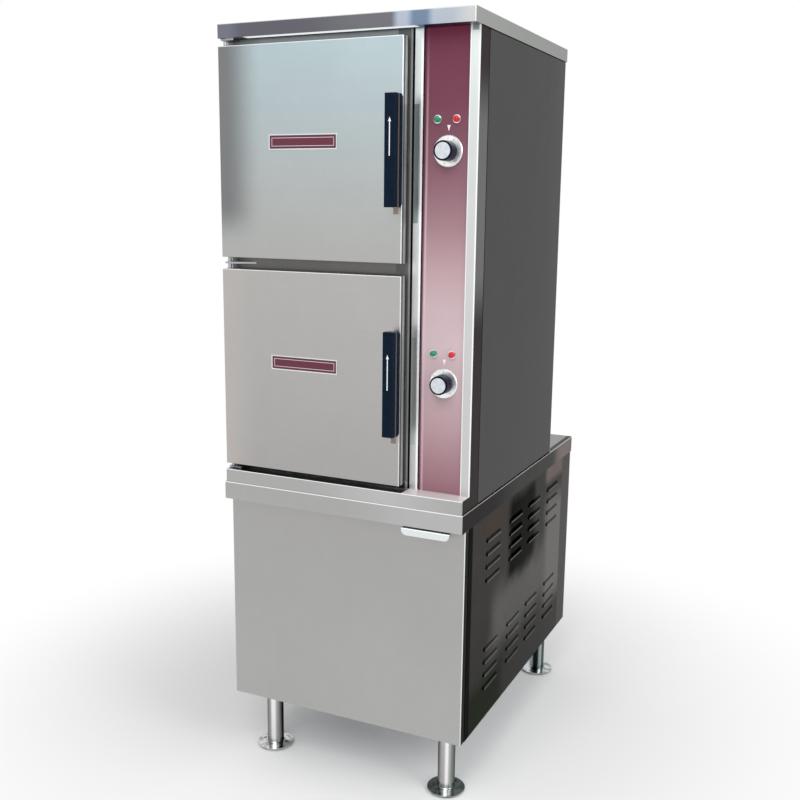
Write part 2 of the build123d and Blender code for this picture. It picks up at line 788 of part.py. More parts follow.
# Boiler drain: quarter-turn valve beside the tank, a tee and the pipes to the rear outlet
drain_valve_left = tank_x + tank_r
drain_valve_right = drain_x - tee_r
drain_stem_x = (drain_valve_left + drain_valve_right) / 2
drain_stem_y = tank_y - drain_valve_r - drain_boss
half_drain = drain_valve_length / 2
with BuildPart() as drain_valve:
    rod((tank_x, tank_y, drain_z), (drain_valve_right, tank_y, drain_z), drain_pipe_r)
    rod((drain_stem_x - half_drain, tank_y, drain_z), (drain_stem_x + half_drain, tank_y, drain_z),
        drain_valve_r)
    rod((drain_stem_x, tank_y, drain_z), (drain_stem_x, drain_stem_y, drain_z), drain_boss_r)
    rod((tank_x, tank_y, drain_z - 2 * drain_valve_r), (tank_x, tank_y, drain_z + 2 * drain_valve_r),
        tank_r, mode=Mode.SUBTRACT)
    rod((drain_stem_x, tank_y, drain_z), (drain_stem_x, drain_stem_y - 1, drain_z),
        drain_stem_r + pin_clearance, mode=Mode.SUBTRACT)
pieces["drain_valve"] = drain_valve

with BuildPart() as drain_lever:
    lever_back = drain_stem_y - rest_clearance
    lever_front = lever_back - drain_lever_thickness
    rod((drain_stem_x, tank_y - rest_clearance, drain_z), (drain_stem_x, lever_front, drain_z), drain_stem_r)
    block(drain_stem_x - drain_lever_width / 2, drain_stem_x + drain_lever_width / 2,
          lever_front, lever_back, drain_z - drain_lever_width / 2, drain_z + drain_lever_length)
    fillet(drain_lever.edges().filter_by(Axis.Y).group_by(Axis.Z)[-1], radius=drain_lever_round)
pieces["drain_lever"] = drain_lever

with BuildPart() as drain_pipe:
    rod((drain_x, tank_y, drain_z - tee_r), (drain_x, tank_y, drain_z + tee_r + tee_collar), tee_r)
    rod((drain_x, tank_y, drain_z + tee_r), (drain_x, tank_y, floors["lower"] - sheet), drain_pipe_r)
    rod((drain_x, tank_y, drain_z), (drain_x, drain_tip, drain_z), drain_pipe_r)
    rod((drain_x, base_rear - sheet - drain_nut, drain_z), (drain_x, base_rear - sheet, drain_z),
        drain_nut_r)
    rod((drain_x, base_rear, drain_z), (drain_x, base_rear + drain_nut, drain_z), drain_nut_r)
    inner_r = drain_pipe_r - drain_pipe_wall
    rod((drain_x, tank_y, drain_z), (drain_x, tank_y, floors["lower"]), inner_r, mode=Mode.SUBTRACT)
    rod((drain_x, tank_y, drain_z), (drain_x, drain_tip + 1, drain_z), inner_r, mode=Mode.SUBTRACT)
pieces["drain_pipe"] = drain_pipe

# Water line: inlet fitting through the rear panel, solenoid valve and pipe into the tank
with BuildPart() as water_line:
    nut_r = water_r + water_nut_rim
    rod((tank_x, tank_y, water_z), (tank_x, water_tip, water_z), water_r)
    rod((tank_x, base_rear - sheet - water_nut, water_z), (tank_x, base_rear - sheet, water_z), nut_r)
    rod((tank_x, base_rear, water_z), (tank_x, base_rear + water_nut, water_z), nut_r)
    valve_rear = base_rear - water_valve_gap
    coil_y = valve_rear - water_valve_length / 2
    body_top = water_z + water_valve_height / 2
    block(tank_x - water_valve_width / 2, tank_x + water_valve_width / 2, valve_rear - water_valve_length,
          valve_rear, water_z - water_valve_height / 2, body_top)
    rod((tank_x, coil_y, body_top), (tank_x, coil_y, body_top + water_coil_height), water_coil_r)
    rod((tank_x, tank_y, water_z - 2 * water_r), (tank_x, tank_y, water_z + 2 * water_r), tank_r,
        mode=Mode.SUBTRACT)
    rod((tank_x, base_rear - water_bore_depth, water_z), (tank_x, water_tip + 1, water_z), water_bore_r,
        mode=Mode.SUBTRACT)
pieces["water_line"] = water_line

# Supply gland: round conduit fitting through the rear panel
with BuildPart() as supply_gland:
    gland_front = base_rear - sheet - gland_nut
    rod((gland_x, gland_front, gland_z), (gland_x, gland_tip, gland_z), gland_bore_r + sheet)
    rod((gland_x, gland_front, gland_z), (gland_x, base_rear - sheet, gland_z), gland_nut_r)
    rod((gland_x, base_rear, gland_z), (gland_x, base_rear + gland_nut, gland_z), gland_nut_r)
    rod((gland_x, gland_front - 1, gland_z), (gland_x, gland_tip + 1, gland_z), gland_bore_r,
        mode=Mode.SUBTRACT)
pieces["supply_gland"] = supply_gland

# Control tray: upright plate that stands on the floor pan, and the gear fixed to it
with BuildPart() as control_tray:
    block(tray_x, tray_x + sheet, tray_front, tray_rear, pan_top, tray_top)
    block(tray_x - tray_foot, tray_x + sheet, tray_front, tray_rear, pan_top, pan_top + sheet)
    block(tray_x, tray_x + tray_foot, tray_front, tray_rear, tray_top - sheet, tray_top)
pieces["control_tray"] = control_tray

with BuildPart() as control_gear:
    gear_middle = (tray_front + tray_rear) / 2
    contactor_top = tray_top - contactor_drop
    contactor_low = contactor_top - contactor_height
    cap_low = contactor_low + contactor_cap_inset
    cap_high = contactor_top - contactor_cap_inset
    for place in (-1, 0, 1):
        y = gear_middle + place * contactor_pitch
        block(tray_x - contactor_depth, tray_x, y - contactor_width / 2, y + contactor_width / 2,
              contactor_low, contactor_top)
        block(tray_x - contactor_depth - contactor_cap, tray_x - contactor_depth,
              y - contactor_width / 4, y + contactor_width / 4, cap_low, cap_high)
    y = gear_middle + terminal_shift
    top = tray_top - terminal_drop
    block(tray_x - terminal_depth, tray_x, y - terminal_length / 2, y + terminal_length / 2,
          top - terminal_height, top)
    y = gear_middle + transformer_shift
    top = tray_top - transformer_drop
    block(tray_x - transformer_depth, tray_x, y - transformer_length / 2, y + transformer_length / 2,
          top - transformer_height, top)
pieces["control_gear"] = control_gear

# Top cap: folded tray over the whole cabinet, closed underneath where it overhangs the front
with BuildPart() as top_cap:
    block(-half_width, half_width, cap_front, upper_rear, cap_under, overall_height)
    block(-half_width + sheet, half_width - sheet, cap_front + sheet, upper_rear - sheet,
          cap_under + sheet, overall_height - sheet, mode=Mode.SUBTRACT)
    block(-half_width + sheet, half_width - sheet, face_front, upper_rear - sheet,
          cap_under - sheet, overall_height - 2 * sheet, mode=Mode.SUBTRACT)
    fillet(top_cap.edges().filter_by(Axis.X).group_by(Axis.Y)[0].sort_by(Axis.Z)[-1], radius=sheet)
pieces["top_cap"] = top_cap


def upper_side(side):
    """Return the plain side panel of the upper cabinet on the right (1) or on the left (-1)."""
    low, high = sorted((side * half_body, side * (half_body - sheet)))
    lap_low, lap_high = sorted((side * (half_body - sheet), side * (half_body - 2 * sheet)))
    with BuildPart() as panel:
        block(low, high, side_start + seam, upper_rear - 2 * sheet, deck_top + side_lift,
              overall_height - sheet)
        block(lap_low, lap_high, side_start - panel_lap, side_start + panel_lap, ledge_top, cap_under)
    return panel


pieces["upper_side_left"] = upper_side(-1)
pieces["upper_side_right"] = upper_side(1)

# Upper rear panel
with BuildPart() as upper_rear_panel:
    block(-half_body, half_body, upper_rear - 2 * sheet, upper_rear - sheet, deck_top,
          overall_height - sheet)
pieces["upper_rear_panel"] = upper_rear_panel

# Front frame: flat face with the two compartment openings and a return down the left side
with BuildPart() as front_frame:
    block(-half_body, stile_left, face_front, frame_back, ledge_top, cap_under)
    block(-half_body, -half_body + sheet, face_front, side_start, ledge_top, cap_under)
    block(-half_body, -half_body + sheet, frame_back + ledge_back_lap, side_start, deck_top, ledge_top)
    for level in levels:
        block(cavity_left, cavity_right, face_front - 1, frame_back + 1, floors[level],
              floors[level] + cavity_height, mode=Mode.SUBTRACT)
pieces["front_frame"] = front_frame

# Stiles: upright trims on both sides of the control panel, the right one folded round the corner
with BuildPart() as stiles:
    stile_left_end = stile_left + stile_left_width
    block(stile_left, stile_left_end, face_front, face_front + stile_depth, ledge_top, cap_under)
    block(stile_left + sheet, stile_left_end - sheet, frame_back, face_front + stile_depth + 1,
          ledge_top - 1, cap_under + 1, mode=Mode.SUBTRACT)
    block(panel_right, half_body, face_front, frame_back, ledge_top, cap_under)
    block(half_body - sheet, half_body, face_front, side_start, ledge_top, cap_under)
    block(half_body - sheet, half_body, frame_back + ledge_back_lap, side_start, deck_top, ledge_top)
    block(panel_right, panel_right + sheet, face_front, face_front + stile_depth, ledge_top, cap_under)
pieces["stiles"] = stiles

# Ledge: front rail on the deck with a drip trough under the doors
with BuildPart() as ledge:
    block(-half_body, half_body, ledge_front, frame_back + ledge_back_lap, deck_top, ledge_top)
    block(-half_body + trough_lip, stile_left, ledge_front + trough_lip, face_front - trough_lip / 2,
          ledge_top - trough_depth, ledge_top + 1, mode=Mode.SUBTRACT)
    block(-half_body + sheet, half_body - sheet, ledge_front + sheet, frame_back + ledge_back_lap - sheet,
          deck_top - 1, ledge_top - trough_depth - sheet, mode=Mode.SUBTRACT)
pieces["ledge"] = ledge

# Control panel: flat sheet between the stiles with holes for the timer shafts and the lamps
with BuildPart() as control_panel:
    block(panel_left, panel_right, panel_front, panel_back, ledge_top, cap_under)
    for z in levels.values():
        rod((dial_x, panel_front - 1, z + dial_rise), (dial_x, panel_back + 1, z + dial_rise),
            shaft_r + shaft_hole_gap, mode=Mode.SUBTRACT)
        for x in (green_x, red_x):
            rod((x, panel_front - 1, z + lamp_rise), (x, panel_back + 1, z + lamp_rise),
                lamp_body_r + rest_clearance, mode=Mode.SUBTRACT)
pieces["control_panel"] = control_panel


def compartment(floor):
    """Return the welded box of a steam compartment above the height of its floor."""
    with BuildPart() as box:
        block(cavity_left - sheet, cavity_right + sheet, frame_back, cavity_rear + sheet,
              floor - sheet, floor + cavity_height + sheet)
        block(cavity_left, cavity_right, frame_back - 1, cavity_rear, floor, floor + cavity_height,
              mode=Mode.SUBTRACT)
    return box


def rack(floor):
    """Return the left and right pan racks of a compartment, each a plate with angled rails."""
    top = rack_first + (rack_rails - 1) * rack_pitch + rack_plate_over
    with BuildPart() as pair:
        for side, wall in ((1, cavity_left + rest_clearance), (-1, cavity_right - rest_clearance)):
            with BuildSketch(Plane(origin=(wall, 0, floor), x_dir=(1, 0, 0), z_dir=(0, -1, 0))):
                with Locations((side * sheet / 2, (top + rest_clearance) / 2)):
                    Rectangle(sheet, top - rest_clearance)
                rails = [(side * rack_rail / 2, rack_first + i * rack_pitch) for i in range(rack_rails)]
                with Locations(*rails):
                    Rectangle(rack_rail, sheet)
            extrude(amount=-rack_length)
    return pair.part.moved(Location((0, frame_back + rack_front_gap, 0)))


for level, z in levels.items():
    box = compartment(floors[level])
    port = (riser_x[level], z + steam_port_rise)
    with box:
        rod((port[0], cavity_rear - 1, port[1]), (port[0], cavity_rear + 2 * sheet, port[1]),
            riser_r + rest_clearance, mode=Mode.SUBTRACT)
    pieces[f"compartment_{level}"] = box
with pieces["compartment_lower"]:
    rod((drain_x, tank_y, floors["lower"] - 2 * sheet), (drain_x, tank_y, floors["lower"] + sheet),
        drain_pipe_r - drain_pipe_wall, mode=Mode.SUBTRACT)
with pieces["compartment_upper"]:
    rod((condensate_x, condensate_front, floors["upper"] - 2 * sheet),
        (condensate_x, condensate_front, floors["upper"] + sheet), condensate_r - pipe_wall,
        mode=Mode.SUBTRACT)

with BuildPart() as pan_racks:
    for floor in floors.values():
        add(rack(floor))
pieces["pan_racks"] = pan_racks

# Insulation: a jacket round each compartment, open in front and pierced for the pipes
with BuildPart() as insulation:
    for level, z in levels.items():
        floor = floors[level]
        block(cavity_left - insulation_side, cavity_right + insulation_side, frame_back + rest_clearance,
              cavity_rear + sheet + insulation_rear, floor - insulation_side,
              floor + cavity_height + insulation_side)
        block(cavity_left - sheet, cavity_right + sheet, frame_back - 1, cavity_rear + sheet,
              floor - sheet, floor + cavity_height + sheet, mode=Mode.SUBTRACT)
        rod((riser_x[level], cavity_rear, z + steam_port_rise),
            (riser_x[level], header_y, z + steam_port_rise), riser_r + insulation_riser_gap,
            mode=Mode.SUBTRACT)
    rod((drain_x, tank_y, deck_top), (drain_x, tank_y, floors["lower"] - sheet),
        drain_pipe_r + insulation_gap, mode=Mode.SUBTRACT)
    rod((condensate_x, condensate_front, turn_z), (condensate_x, condensate_front, floors["upper"] - sheet),
        condensate_r + insulation_gap, mode=Mode.SUBTRACT)
pieces["insulation"] = insulation

# Timers behind the control panel
with BuildPart() as timers:
    for z in levels.values():
        half_timer = timer_width / 2
        block(dial_x - half_timer, dial_x + half_timer, panel_back, panel_back + timer_depth,
              z + dial_rise - half_timer, z + dial_rise + half_timer)
        rod((dial_x, panel_back - 1, z + dial_rise), (dial_x, panel_back + shaft_grip + 1, z + dial_rise),
            shaft_r + pin_clearance, mode=Mode.SUBTRACT)
pieces["timers"] = timers


def lenses(x):
    """Return the two lamp lenses in one column, each with its body behind the panel."""
    with BuildPart() as pair:
        for z in levels.values():
            centre = z + lamp_rise
            rod((x, panel_front - bezel_thickness - lens_proud, centre),
                (x, panel_front - bezel_thickness, centre), lens_r)
            rod((x, panel_front - bezel_thickness, centre), (x, panel_back + lamp_body_length, centre),
                lamp_body_r)
        fillet(pair.edges().group_by(Axis.Y)[0], radius=lens_round)
    return pair


pieces["green_lenses"] = lenses(green_x)
pieces["red_lenses"] = lenses(red_x)

# Lamp bezels: turned rings on the panel round the lenses
with BuildPart() as lamp_bezels:
    for z in levels.values():
        for x in (green_x, red_x):
            centre = z + lamp_rise
            rod((x, panel_front - bezel_thickness, centre), (x, panel_front, centre), bezel_r)
            rod((x, panel_front - bezel_thickness - 1, centre), (x, panel_front + 1, centre),
                lamp_body_r + rest_clearance, mode=Mode.SUBTRACT)
pieces["lamp_bezels"] = lamp_bezels


def dial(centre):
    """Return the timer dial skirt and the bright face of its knob at the height of the centre."""
    back = panel_front - dial_gap
    front = panel_front - knob_reach
    with BuildPart() as turned:
        rod((dial_x, back, centre), (dial_x, back - dial_thickness, centre), dial_r)
        chamfer(turned.edges().group_by(Axis.Y)[0], length=dial_bevel)
        rod((dial_x, back + 1, centre), (dial_x, back - dial_thickness - 1, centre), shaft_r + pin_clearance,
            mode=Mode.SUBTRACT)
        rod((dial_x, front + knob_face_depth, centre), (dial_x, front, centre), knob_face_r)
    return turned


def knob(centre):
    """Return the black knob body with its shaft at the height of the centre."""
    back = panel_front - dial_gap - dial_thickness
    front = panel_front - knob_reach
    with BuildPart() as body:
        with BuildSketch(Plane(origin=(dial_x, back, centre), z_dir=(0, -1, 0))):
            Circle(knob_r)
        with BuildSketch(Plane(origin=(dial_x, front, centre), z_dir=(0, -1, 0))):
            Circle(knob_tip_r)
        loft()
        fillet(body.edges().group_by(Axis.Y)[0], radius=knob_round)
        rod((dial_x, front - 1, centre), (dial_x, front + knob_face_depth, centre), knob_face_r,
            mode=Mode.SUBTRACT)
        rod((dial_x, back - 1, centre), (dial_x, panel_back + shaft_grip, centre), shaft_r)
    return body


for level, z in levels.items():
    pieces[f"dial_{level}"] = dial(z + dial_rise)
    pieces[f"knob_{level}"] = knob(z + dial_rise)

# Door hinges: top, middle and bottom plates on the front frame with the pins of both doors
upper_door_top = upper_door + door_height
lower_door_top = lower_door + door_height
bracket_front = hinge_y - bracket_nose
bracket_left = hinge_x - bracket_side
middle_plate = (lower_door_top + upper_door - bracket_thickness) / 2
with BuildPart() as door_hinges:
    block(bracket_left, bracket_left + bracket_width, bracket_front, face_front,
          cap_under - bracket_thickness, cap_under)
    block(bracket_left, bracket_left + bracket_width, bracket_front, face_front,
          ledge_top, ledge_top + bracket_thickness)
    with BuildSketch(Plane.XY.offset(middle_plate)):
        with BuildLine():
            Polyline((bracket_left, face_front), (bracket_left, bracket_front),
                     (hinge_x + bracket_side, bracket_front), (bracket_left + gusset_width, face_front),
                     (bracket_left, face_front))
        make_face()
    extrude(amount=bracket_thickness)
    fillet(door_hinges.edges().filter_by(Axis.Z).group_by(Axis.Y)[0], radius=bracket_round)
    rod((hinge_x, hinge_y, upper_door_top - hinge_grip), (hinge_x, hinge_y, cap_under - 1), hinge_pin_r)
    rod((hinge_x, hinge_y, lower_door_top - hinge_grip), (hinge_x, hinge_y, upper_door + hinge_grip),
        hinge_pin_r)
    rod((hinge_x, hinge_y, ledge_top + 1), (hinge_x, hinge_y, lower_door + hinge_grip), hinge_pin_r)
pieces["door_hinges"] = door_hinges

# Strikes: U-shaped keepers on the front frame, each with a cross pin under the latch hook
strike_x = (door_right - thin_sheet + door_right - liner_inset) / 2
strike_half = hook_thickness / 2 + strike_ear + strike_gap
strike_pin_y = face_front - strike_reach
stem_x = strike_x - stem_offset
with BuildPart() as strikes:
    for z in levels.values():
        middle = z + door_height / 2
        block(strike_x - strike_half, strike_x + strike_half, face_front - sheet, face_front,
              middle - strike_low, middle + strike_high)
        for side in (-1, 1):
            x0, x1 = sorted((strike_x + side * strike_half, strike_x + side * (strike_half - strike_ear)))
            block(x0, x1, strike_pin_y - strike_ear_front, face_front, middle - strike_ear_low, middle)
        rod((strike_x - strike_half, strike_pin_y, middle - strike_pin_drop),
            (strike_x + strike_half, strike_pin_y, middle - strike_pin_drop), strike_pin_r)
pieces["strikes"] = strikes


def door_skin(bottom):
    """Return the folded outer skin of a steam door with its hinge blocks and latch slots."""
    top = bottom + door_height
    back = cap_front + door_return
    grip_low = bottom + handle_rise + stem_drop
    grip_high = bottom + handle_rise + handle_length
    slot_half = stem_width / 2 + stem_slot_gap
    with BuildPart() as skin:
        block(door_left, door_right, cap_front, back, bottom, top)
        block(door_left + thin_sheet, door_right - thin_sheet, cap_front + thin_sheet, back + 1,
              bottom + thin_sheet, top - thin_sheet, mode=Mode.SUBTRACT)
        fillet(skin.edges().group_by(Axis.Y)[0], radius=thin_sheet)
        for z in (bottom + thin_sheet, top - thin_sheet - hinge_grip):
            block(door_left + thin_sheet, hinge_x + hinge_block / 2, cap_front + thin_sheet, back,
                  z, z + hinge_grip)
        rod((hinge_x, hinge_y, bottom - 1), (hinge_x, hinge_y, top + 1), hinge_pin_r + pin_clearance,
            mode=Mode.SUBTRACT)
        for low in (grip_low, grip_high - stem_height - stem_drop):
            block(stem_x - slot_half, stem_x + slot_half, cap_front - 1, cap_front + 2 * thin_sheet,
                  low - stem_slot_gap, low + stem_height + handle_lift + stem_slot_gap,
                  mode=Mode.SUBTRACT)
    return skin


def door_liner(bottom):
    """Return the inner pan of a steam door, set in from the skin's edges on every side."""
    top = bottom + door_height
    front = cap_front + liner_front_gap
    back = face_front - gasket_depth
    with BuildPart() as liner:
        block(door_left + liner_inset, door_right - liner_inset, front, back,
              bottom + liner_inset, top - liner_inset)
        chamfer(liner.edges().filter_by(Axis.Y), length=liner_corner)
        rim = liner_inset + liner_flange
        block(door_left + rim, door_right - rim, front - 1, back - thin_sheet, bottom + rim, top - rim,
              mode=Mode.SUBTRACT)
    return liner


def door_gasket(bottom):
    """Return the soft ring on a steam door's liner that meets the front frame."""
    width = door_right - door_left - 2 * (liner_inset + gasket_inset)
    height = door_height - 2 * (liner_inset + gasket_inset)
    middle = bottom + door_height / 2
    with BuildPart() as ring:
        with BuildSketch(Plane(origin=(cavity_x, face_front - gasket_depth, middle), x_dir=(1, 0, 0),
                               z_dir=(0, -1, 0))):
            RectangleRounded(width, height, gasket_corner)
            RectangleRounded(width - 2 * gasket_width, height - 2 * gasket_width, gasket_inner_corner,
                             mode=Mode.SUBTRACT)
        extrude(amount=-(gasket_depth - rest_clearance))
    return ring


def badge(bottom):
    """Return the plain badge plate of a steam door, a raised border round a flat field."""
    middle = bottom + badge_rise
    with BuildPart() as plate:
        with BuildSketch(Plane(origin=(badge_x, cap_front, middle), x_dir=(1, 0, 0), z_dir=(0, -1, 0))):
            RectangleRounded(badge_width, badge_height, badge_corner)
        extrude(amount=badge_thickness)
        with BuildSketch(Plane(origin=(badge_x, cap_front - badge_thickness, middle), x_dir=(1, 0, 0),
                               z_dir=(0, -1, 0))):
            RectangleRounded(badge_width - 2 * badge_border, badge_height - 2 * badge_border,
                             badge_inner_corner)
        extrude(amount=-badge_thickness / 3, mode=Mode.SUBTRACT)
    return plate


def handle_bar(bottom):
    """Return a door handle's metal: core plate, two stems, slide plate and latch hook."""
    low = bottom + handle_rise - handle_tail
    high = bottom + handle_rise + handle_length
    core_front = handle_front + handle_front_depth
    core_back = core_front + handle_core
    slide_front = cap_front + slide_back
    middle = bottom + door_height / 2
    hook_low = middle - strike_pin_drop + strike_pin_r + hook_clearance
    with BuildPart() as bar:
        block(handle_left + core_step, handle_left + handle_width + core_over, core_front, core_back,
              bottom + handle_rise, high)
        block(handle_left + handle_width + core_over - tail_width, handle_left + handle_width + core_over,
              core_front, core_back, low, bottom + handle_rise)
        for z in (bottom + handle_rise + stem_drop, high - stem_height - stem_drop):
            block(stem_x - stem_width / 2, stem_x + stem_width / 2, core_back, slide_front,
                  z, z + stem_height)
        block(stem_x - stem_width / 2, strike_x + hook_thickness / 2, slide_front, slide_front + slide_plate,
              low, high)
        block(strike_x - hook_thickness / 2, strike_x + hook_thickness / 2, slide_front + slide_plate,
              strike_pin_y + strike_pin_r + hook_over, hook_low, hook_low + hook_height)
    return bar


def handle_cover(bottom):
    """Return a door handle's black covers in front of and behind the core plate."""
    low = bottom + handle_rise
    high = low + handle_length
    core_front = handle_front + handle_front_depth
    core_back = core_front + handle_core
    with BuildPart() as cover:
        block(handle_left, handle_left + handle_width, handle_front, core_front, low, high)
        fillet(cover.edges().group_by(Axis.Y)[0], radius=cover_round)
    stem_half = stem_width / 2 + stem_slot_gap
    with BuildPart() as rear_cover:
        block(handle_left + core_step, handle_left + handle_width + cover_over, core_back,
              core_back + handle_back_depth, low, high)
        fillet(rear_cover.edges().filter_by(Axis.X).group_by(Axis.Y)[-1], radius=cover_end_round)
        fillet(rear_cover.edges().filter_by(Axis.Z).group_by(Axis.Y)[-1], radius=cover_round)
        for z in (low + stem_drop, high - stem_height - stem_drop):
            block(stem_x - stem_half, stem_x + stem_half, core_back - 1, core_back + handle_back_depth + 1,
                  z - stem_slot_gap, z + stem_height + stem_slot_gap, mode=Mode.SUBTRACT)
    with cover:
        add(rear_cover.part)
    return cover


for level, z in levels.items():
    pieces[f"door_skin_{level}"] = door_skin(z)
    pieces[f"door_liner_{level}"] = door_liner(z)
    pieces[f"door_gasket_{level}"] = door_gasket(z)
    pieces[f"badge_{level}"] = badge(z)
    pieces[f"handle_bar_{level}"] = handle_bar(z)
    pieces[f"handle_cover_{level}"] = handle_cover(z)

for name, piece in pieces.items():
    piece.part.label = name
    export_step(piece.part, f"parts/{name}.step")
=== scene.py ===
"""Looks of an electric steaming cabinet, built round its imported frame.

All lengths are metres in the frame's own axes: x to the right of someone who faces the doors, y towards
the rear and z up from the floor. The file goes from the tools to the object: shader sums, kinds of
finish, surfaces, the workshop and the studio, then this cabinet's finishes and its pieces.
"""
from __future__ import annotations

import json
import logging
import math
from dataclasses import dataclass, field
from enum import Enum
from functools import cached_property

import bpy
import numpy as np
from mathutils import Matrix, Vector

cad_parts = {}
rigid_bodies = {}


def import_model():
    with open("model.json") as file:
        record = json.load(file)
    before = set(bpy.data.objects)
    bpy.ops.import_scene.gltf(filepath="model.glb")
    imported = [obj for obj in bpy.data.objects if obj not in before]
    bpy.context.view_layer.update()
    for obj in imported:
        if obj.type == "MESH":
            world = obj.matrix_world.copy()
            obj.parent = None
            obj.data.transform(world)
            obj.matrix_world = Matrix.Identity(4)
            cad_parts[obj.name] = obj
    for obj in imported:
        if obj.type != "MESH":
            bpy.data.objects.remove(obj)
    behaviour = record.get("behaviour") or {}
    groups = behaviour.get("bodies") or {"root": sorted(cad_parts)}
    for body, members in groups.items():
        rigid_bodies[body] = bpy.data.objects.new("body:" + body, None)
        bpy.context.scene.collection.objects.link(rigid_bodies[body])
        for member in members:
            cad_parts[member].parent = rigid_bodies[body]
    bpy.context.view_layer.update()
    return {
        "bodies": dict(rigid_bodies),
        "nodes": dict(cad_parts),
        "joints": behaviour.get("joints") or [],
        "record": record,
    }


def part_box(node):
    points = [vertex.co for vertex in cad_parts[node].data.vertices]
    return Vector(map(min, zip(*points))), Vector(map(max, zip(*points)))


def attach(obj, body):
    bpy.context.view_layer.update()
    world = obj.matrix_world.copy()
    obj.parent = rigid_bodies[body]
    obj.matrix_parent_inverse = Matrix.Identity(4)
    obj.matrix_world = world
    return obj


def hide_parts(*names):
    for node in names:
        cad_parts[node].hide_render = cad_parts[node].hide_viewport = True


LOG = logging.getLogger("steaming_cabinet")
Colour = tuple[float, float, float]
Place = tuple[float, float, float]
Outline = list[tuple[float, float]]
Span = tuple[float | None, float | None]
Stops = tuple[tuple[float, Colour], ...]
FREE: Span = (None, None)
WHITE: Colour = (1.0, 1.0, 1.0)
NO_LIGHT: Colour = (0.0, 0.0, 0.0)


def paint(red: int, green: int, blue: int) -> Colour:
    """Turn a colour as it looks on a screen into the linear values that a shader takes.

    A share v of the full value becomes v / 12.92 up to 0.04045, and ((v + 0.055) / 1.055) ^ 2.4 above.

    Args:
        red: The red, 0 to 255.
        green: The green, 0 to 255.
        blue: The blue, 0 to 255.

    Returns:
        The linear colour.
    """
    shares = np.array([red, green, blue]) / 255.0
    linear = np.where(shares <= 0.04045, shares / 12.92, ((shares + 0.055) / 1.055) ** 2.4)
    return tuple(linear.tolist())


def ramp(*rows: tuple[float, int, int, int]) -> Stops:
    """Return colour stops from rows of a place, red, green and blue, the colours as paint() takes them."""
    return tuple((place, paint(*colour)) for place, *colour in rows)


class Run(Enum):
    """The direction in which the marks of a finish run, as cycles per metre along x, y and z."""

    X = (7.0, 900.0, 900.0)
    Z = (900.0, 900.0, 7.0)
    NONE = (420.0, 420.0, 420.0)


class Turn(Enum):
    """The axis that a weld bead runs round."""

    Y = "y"
    Z = "z"


class Level(Enum):
    """One of the two compartments: the heights of its door's lower edge and of its timer's centre."""

    UPPER = (1.2485, 1.4808)
    LOWER = (0.7610, 0.9933)

    def __init__(self, door_low: float, dial_z: float) -> None:
        """Keep the two heights."""
        self.door_low = door_low
        self.dial_z = dial_z

    def __str__(self) -> str:
        """Return the word that the names of this compartment's nodes end in."""
        return self.name.lower()


# ---------------------------------------------------------------- shader sums
class Wire:
    """A shader socket that joins in Python sums: each operator adds one Math node."""

    def __init__(self, graph: Graph, socket: bpy.types.NodeSocket) -> None:
        """Keep the socket and the graph that it belongs to."""
        self.graph = graph
        self.socket = socket

    def __add__(self, other: Wire | float) -> Wire:
        """Return self + other."""
        return self.graph.sum("ADD", self, other)

    __radd__ = __add__

    def __sub__(self, other: Wire | float) -> Wire:
        """Return self - other."""
        return self.graph.sum("SUBTRACT", self, other)

    def __rsub__(self, other: Wire | float) -> Wire:
        """Return other - self."""
        return self.graph.sum("SUBTRACT", other, self)

    def __mul__(self, other: Wire | float) -> Wire:
        """Return self * other."""
        return self.graph.sum("MULTIPLY", self, other)

    __rmul__ = __mul__

    def __truediv__(self, other: Wire | float) -> Wire:
        """Return self / other."""
        return self.graph.sum("DIVIDE", self, other)

    def __rtruediv__(self, other: Wire | float) -> Wire:
        """Return other / self."""
        return self.graph.sum("DIVIDE", other, self)


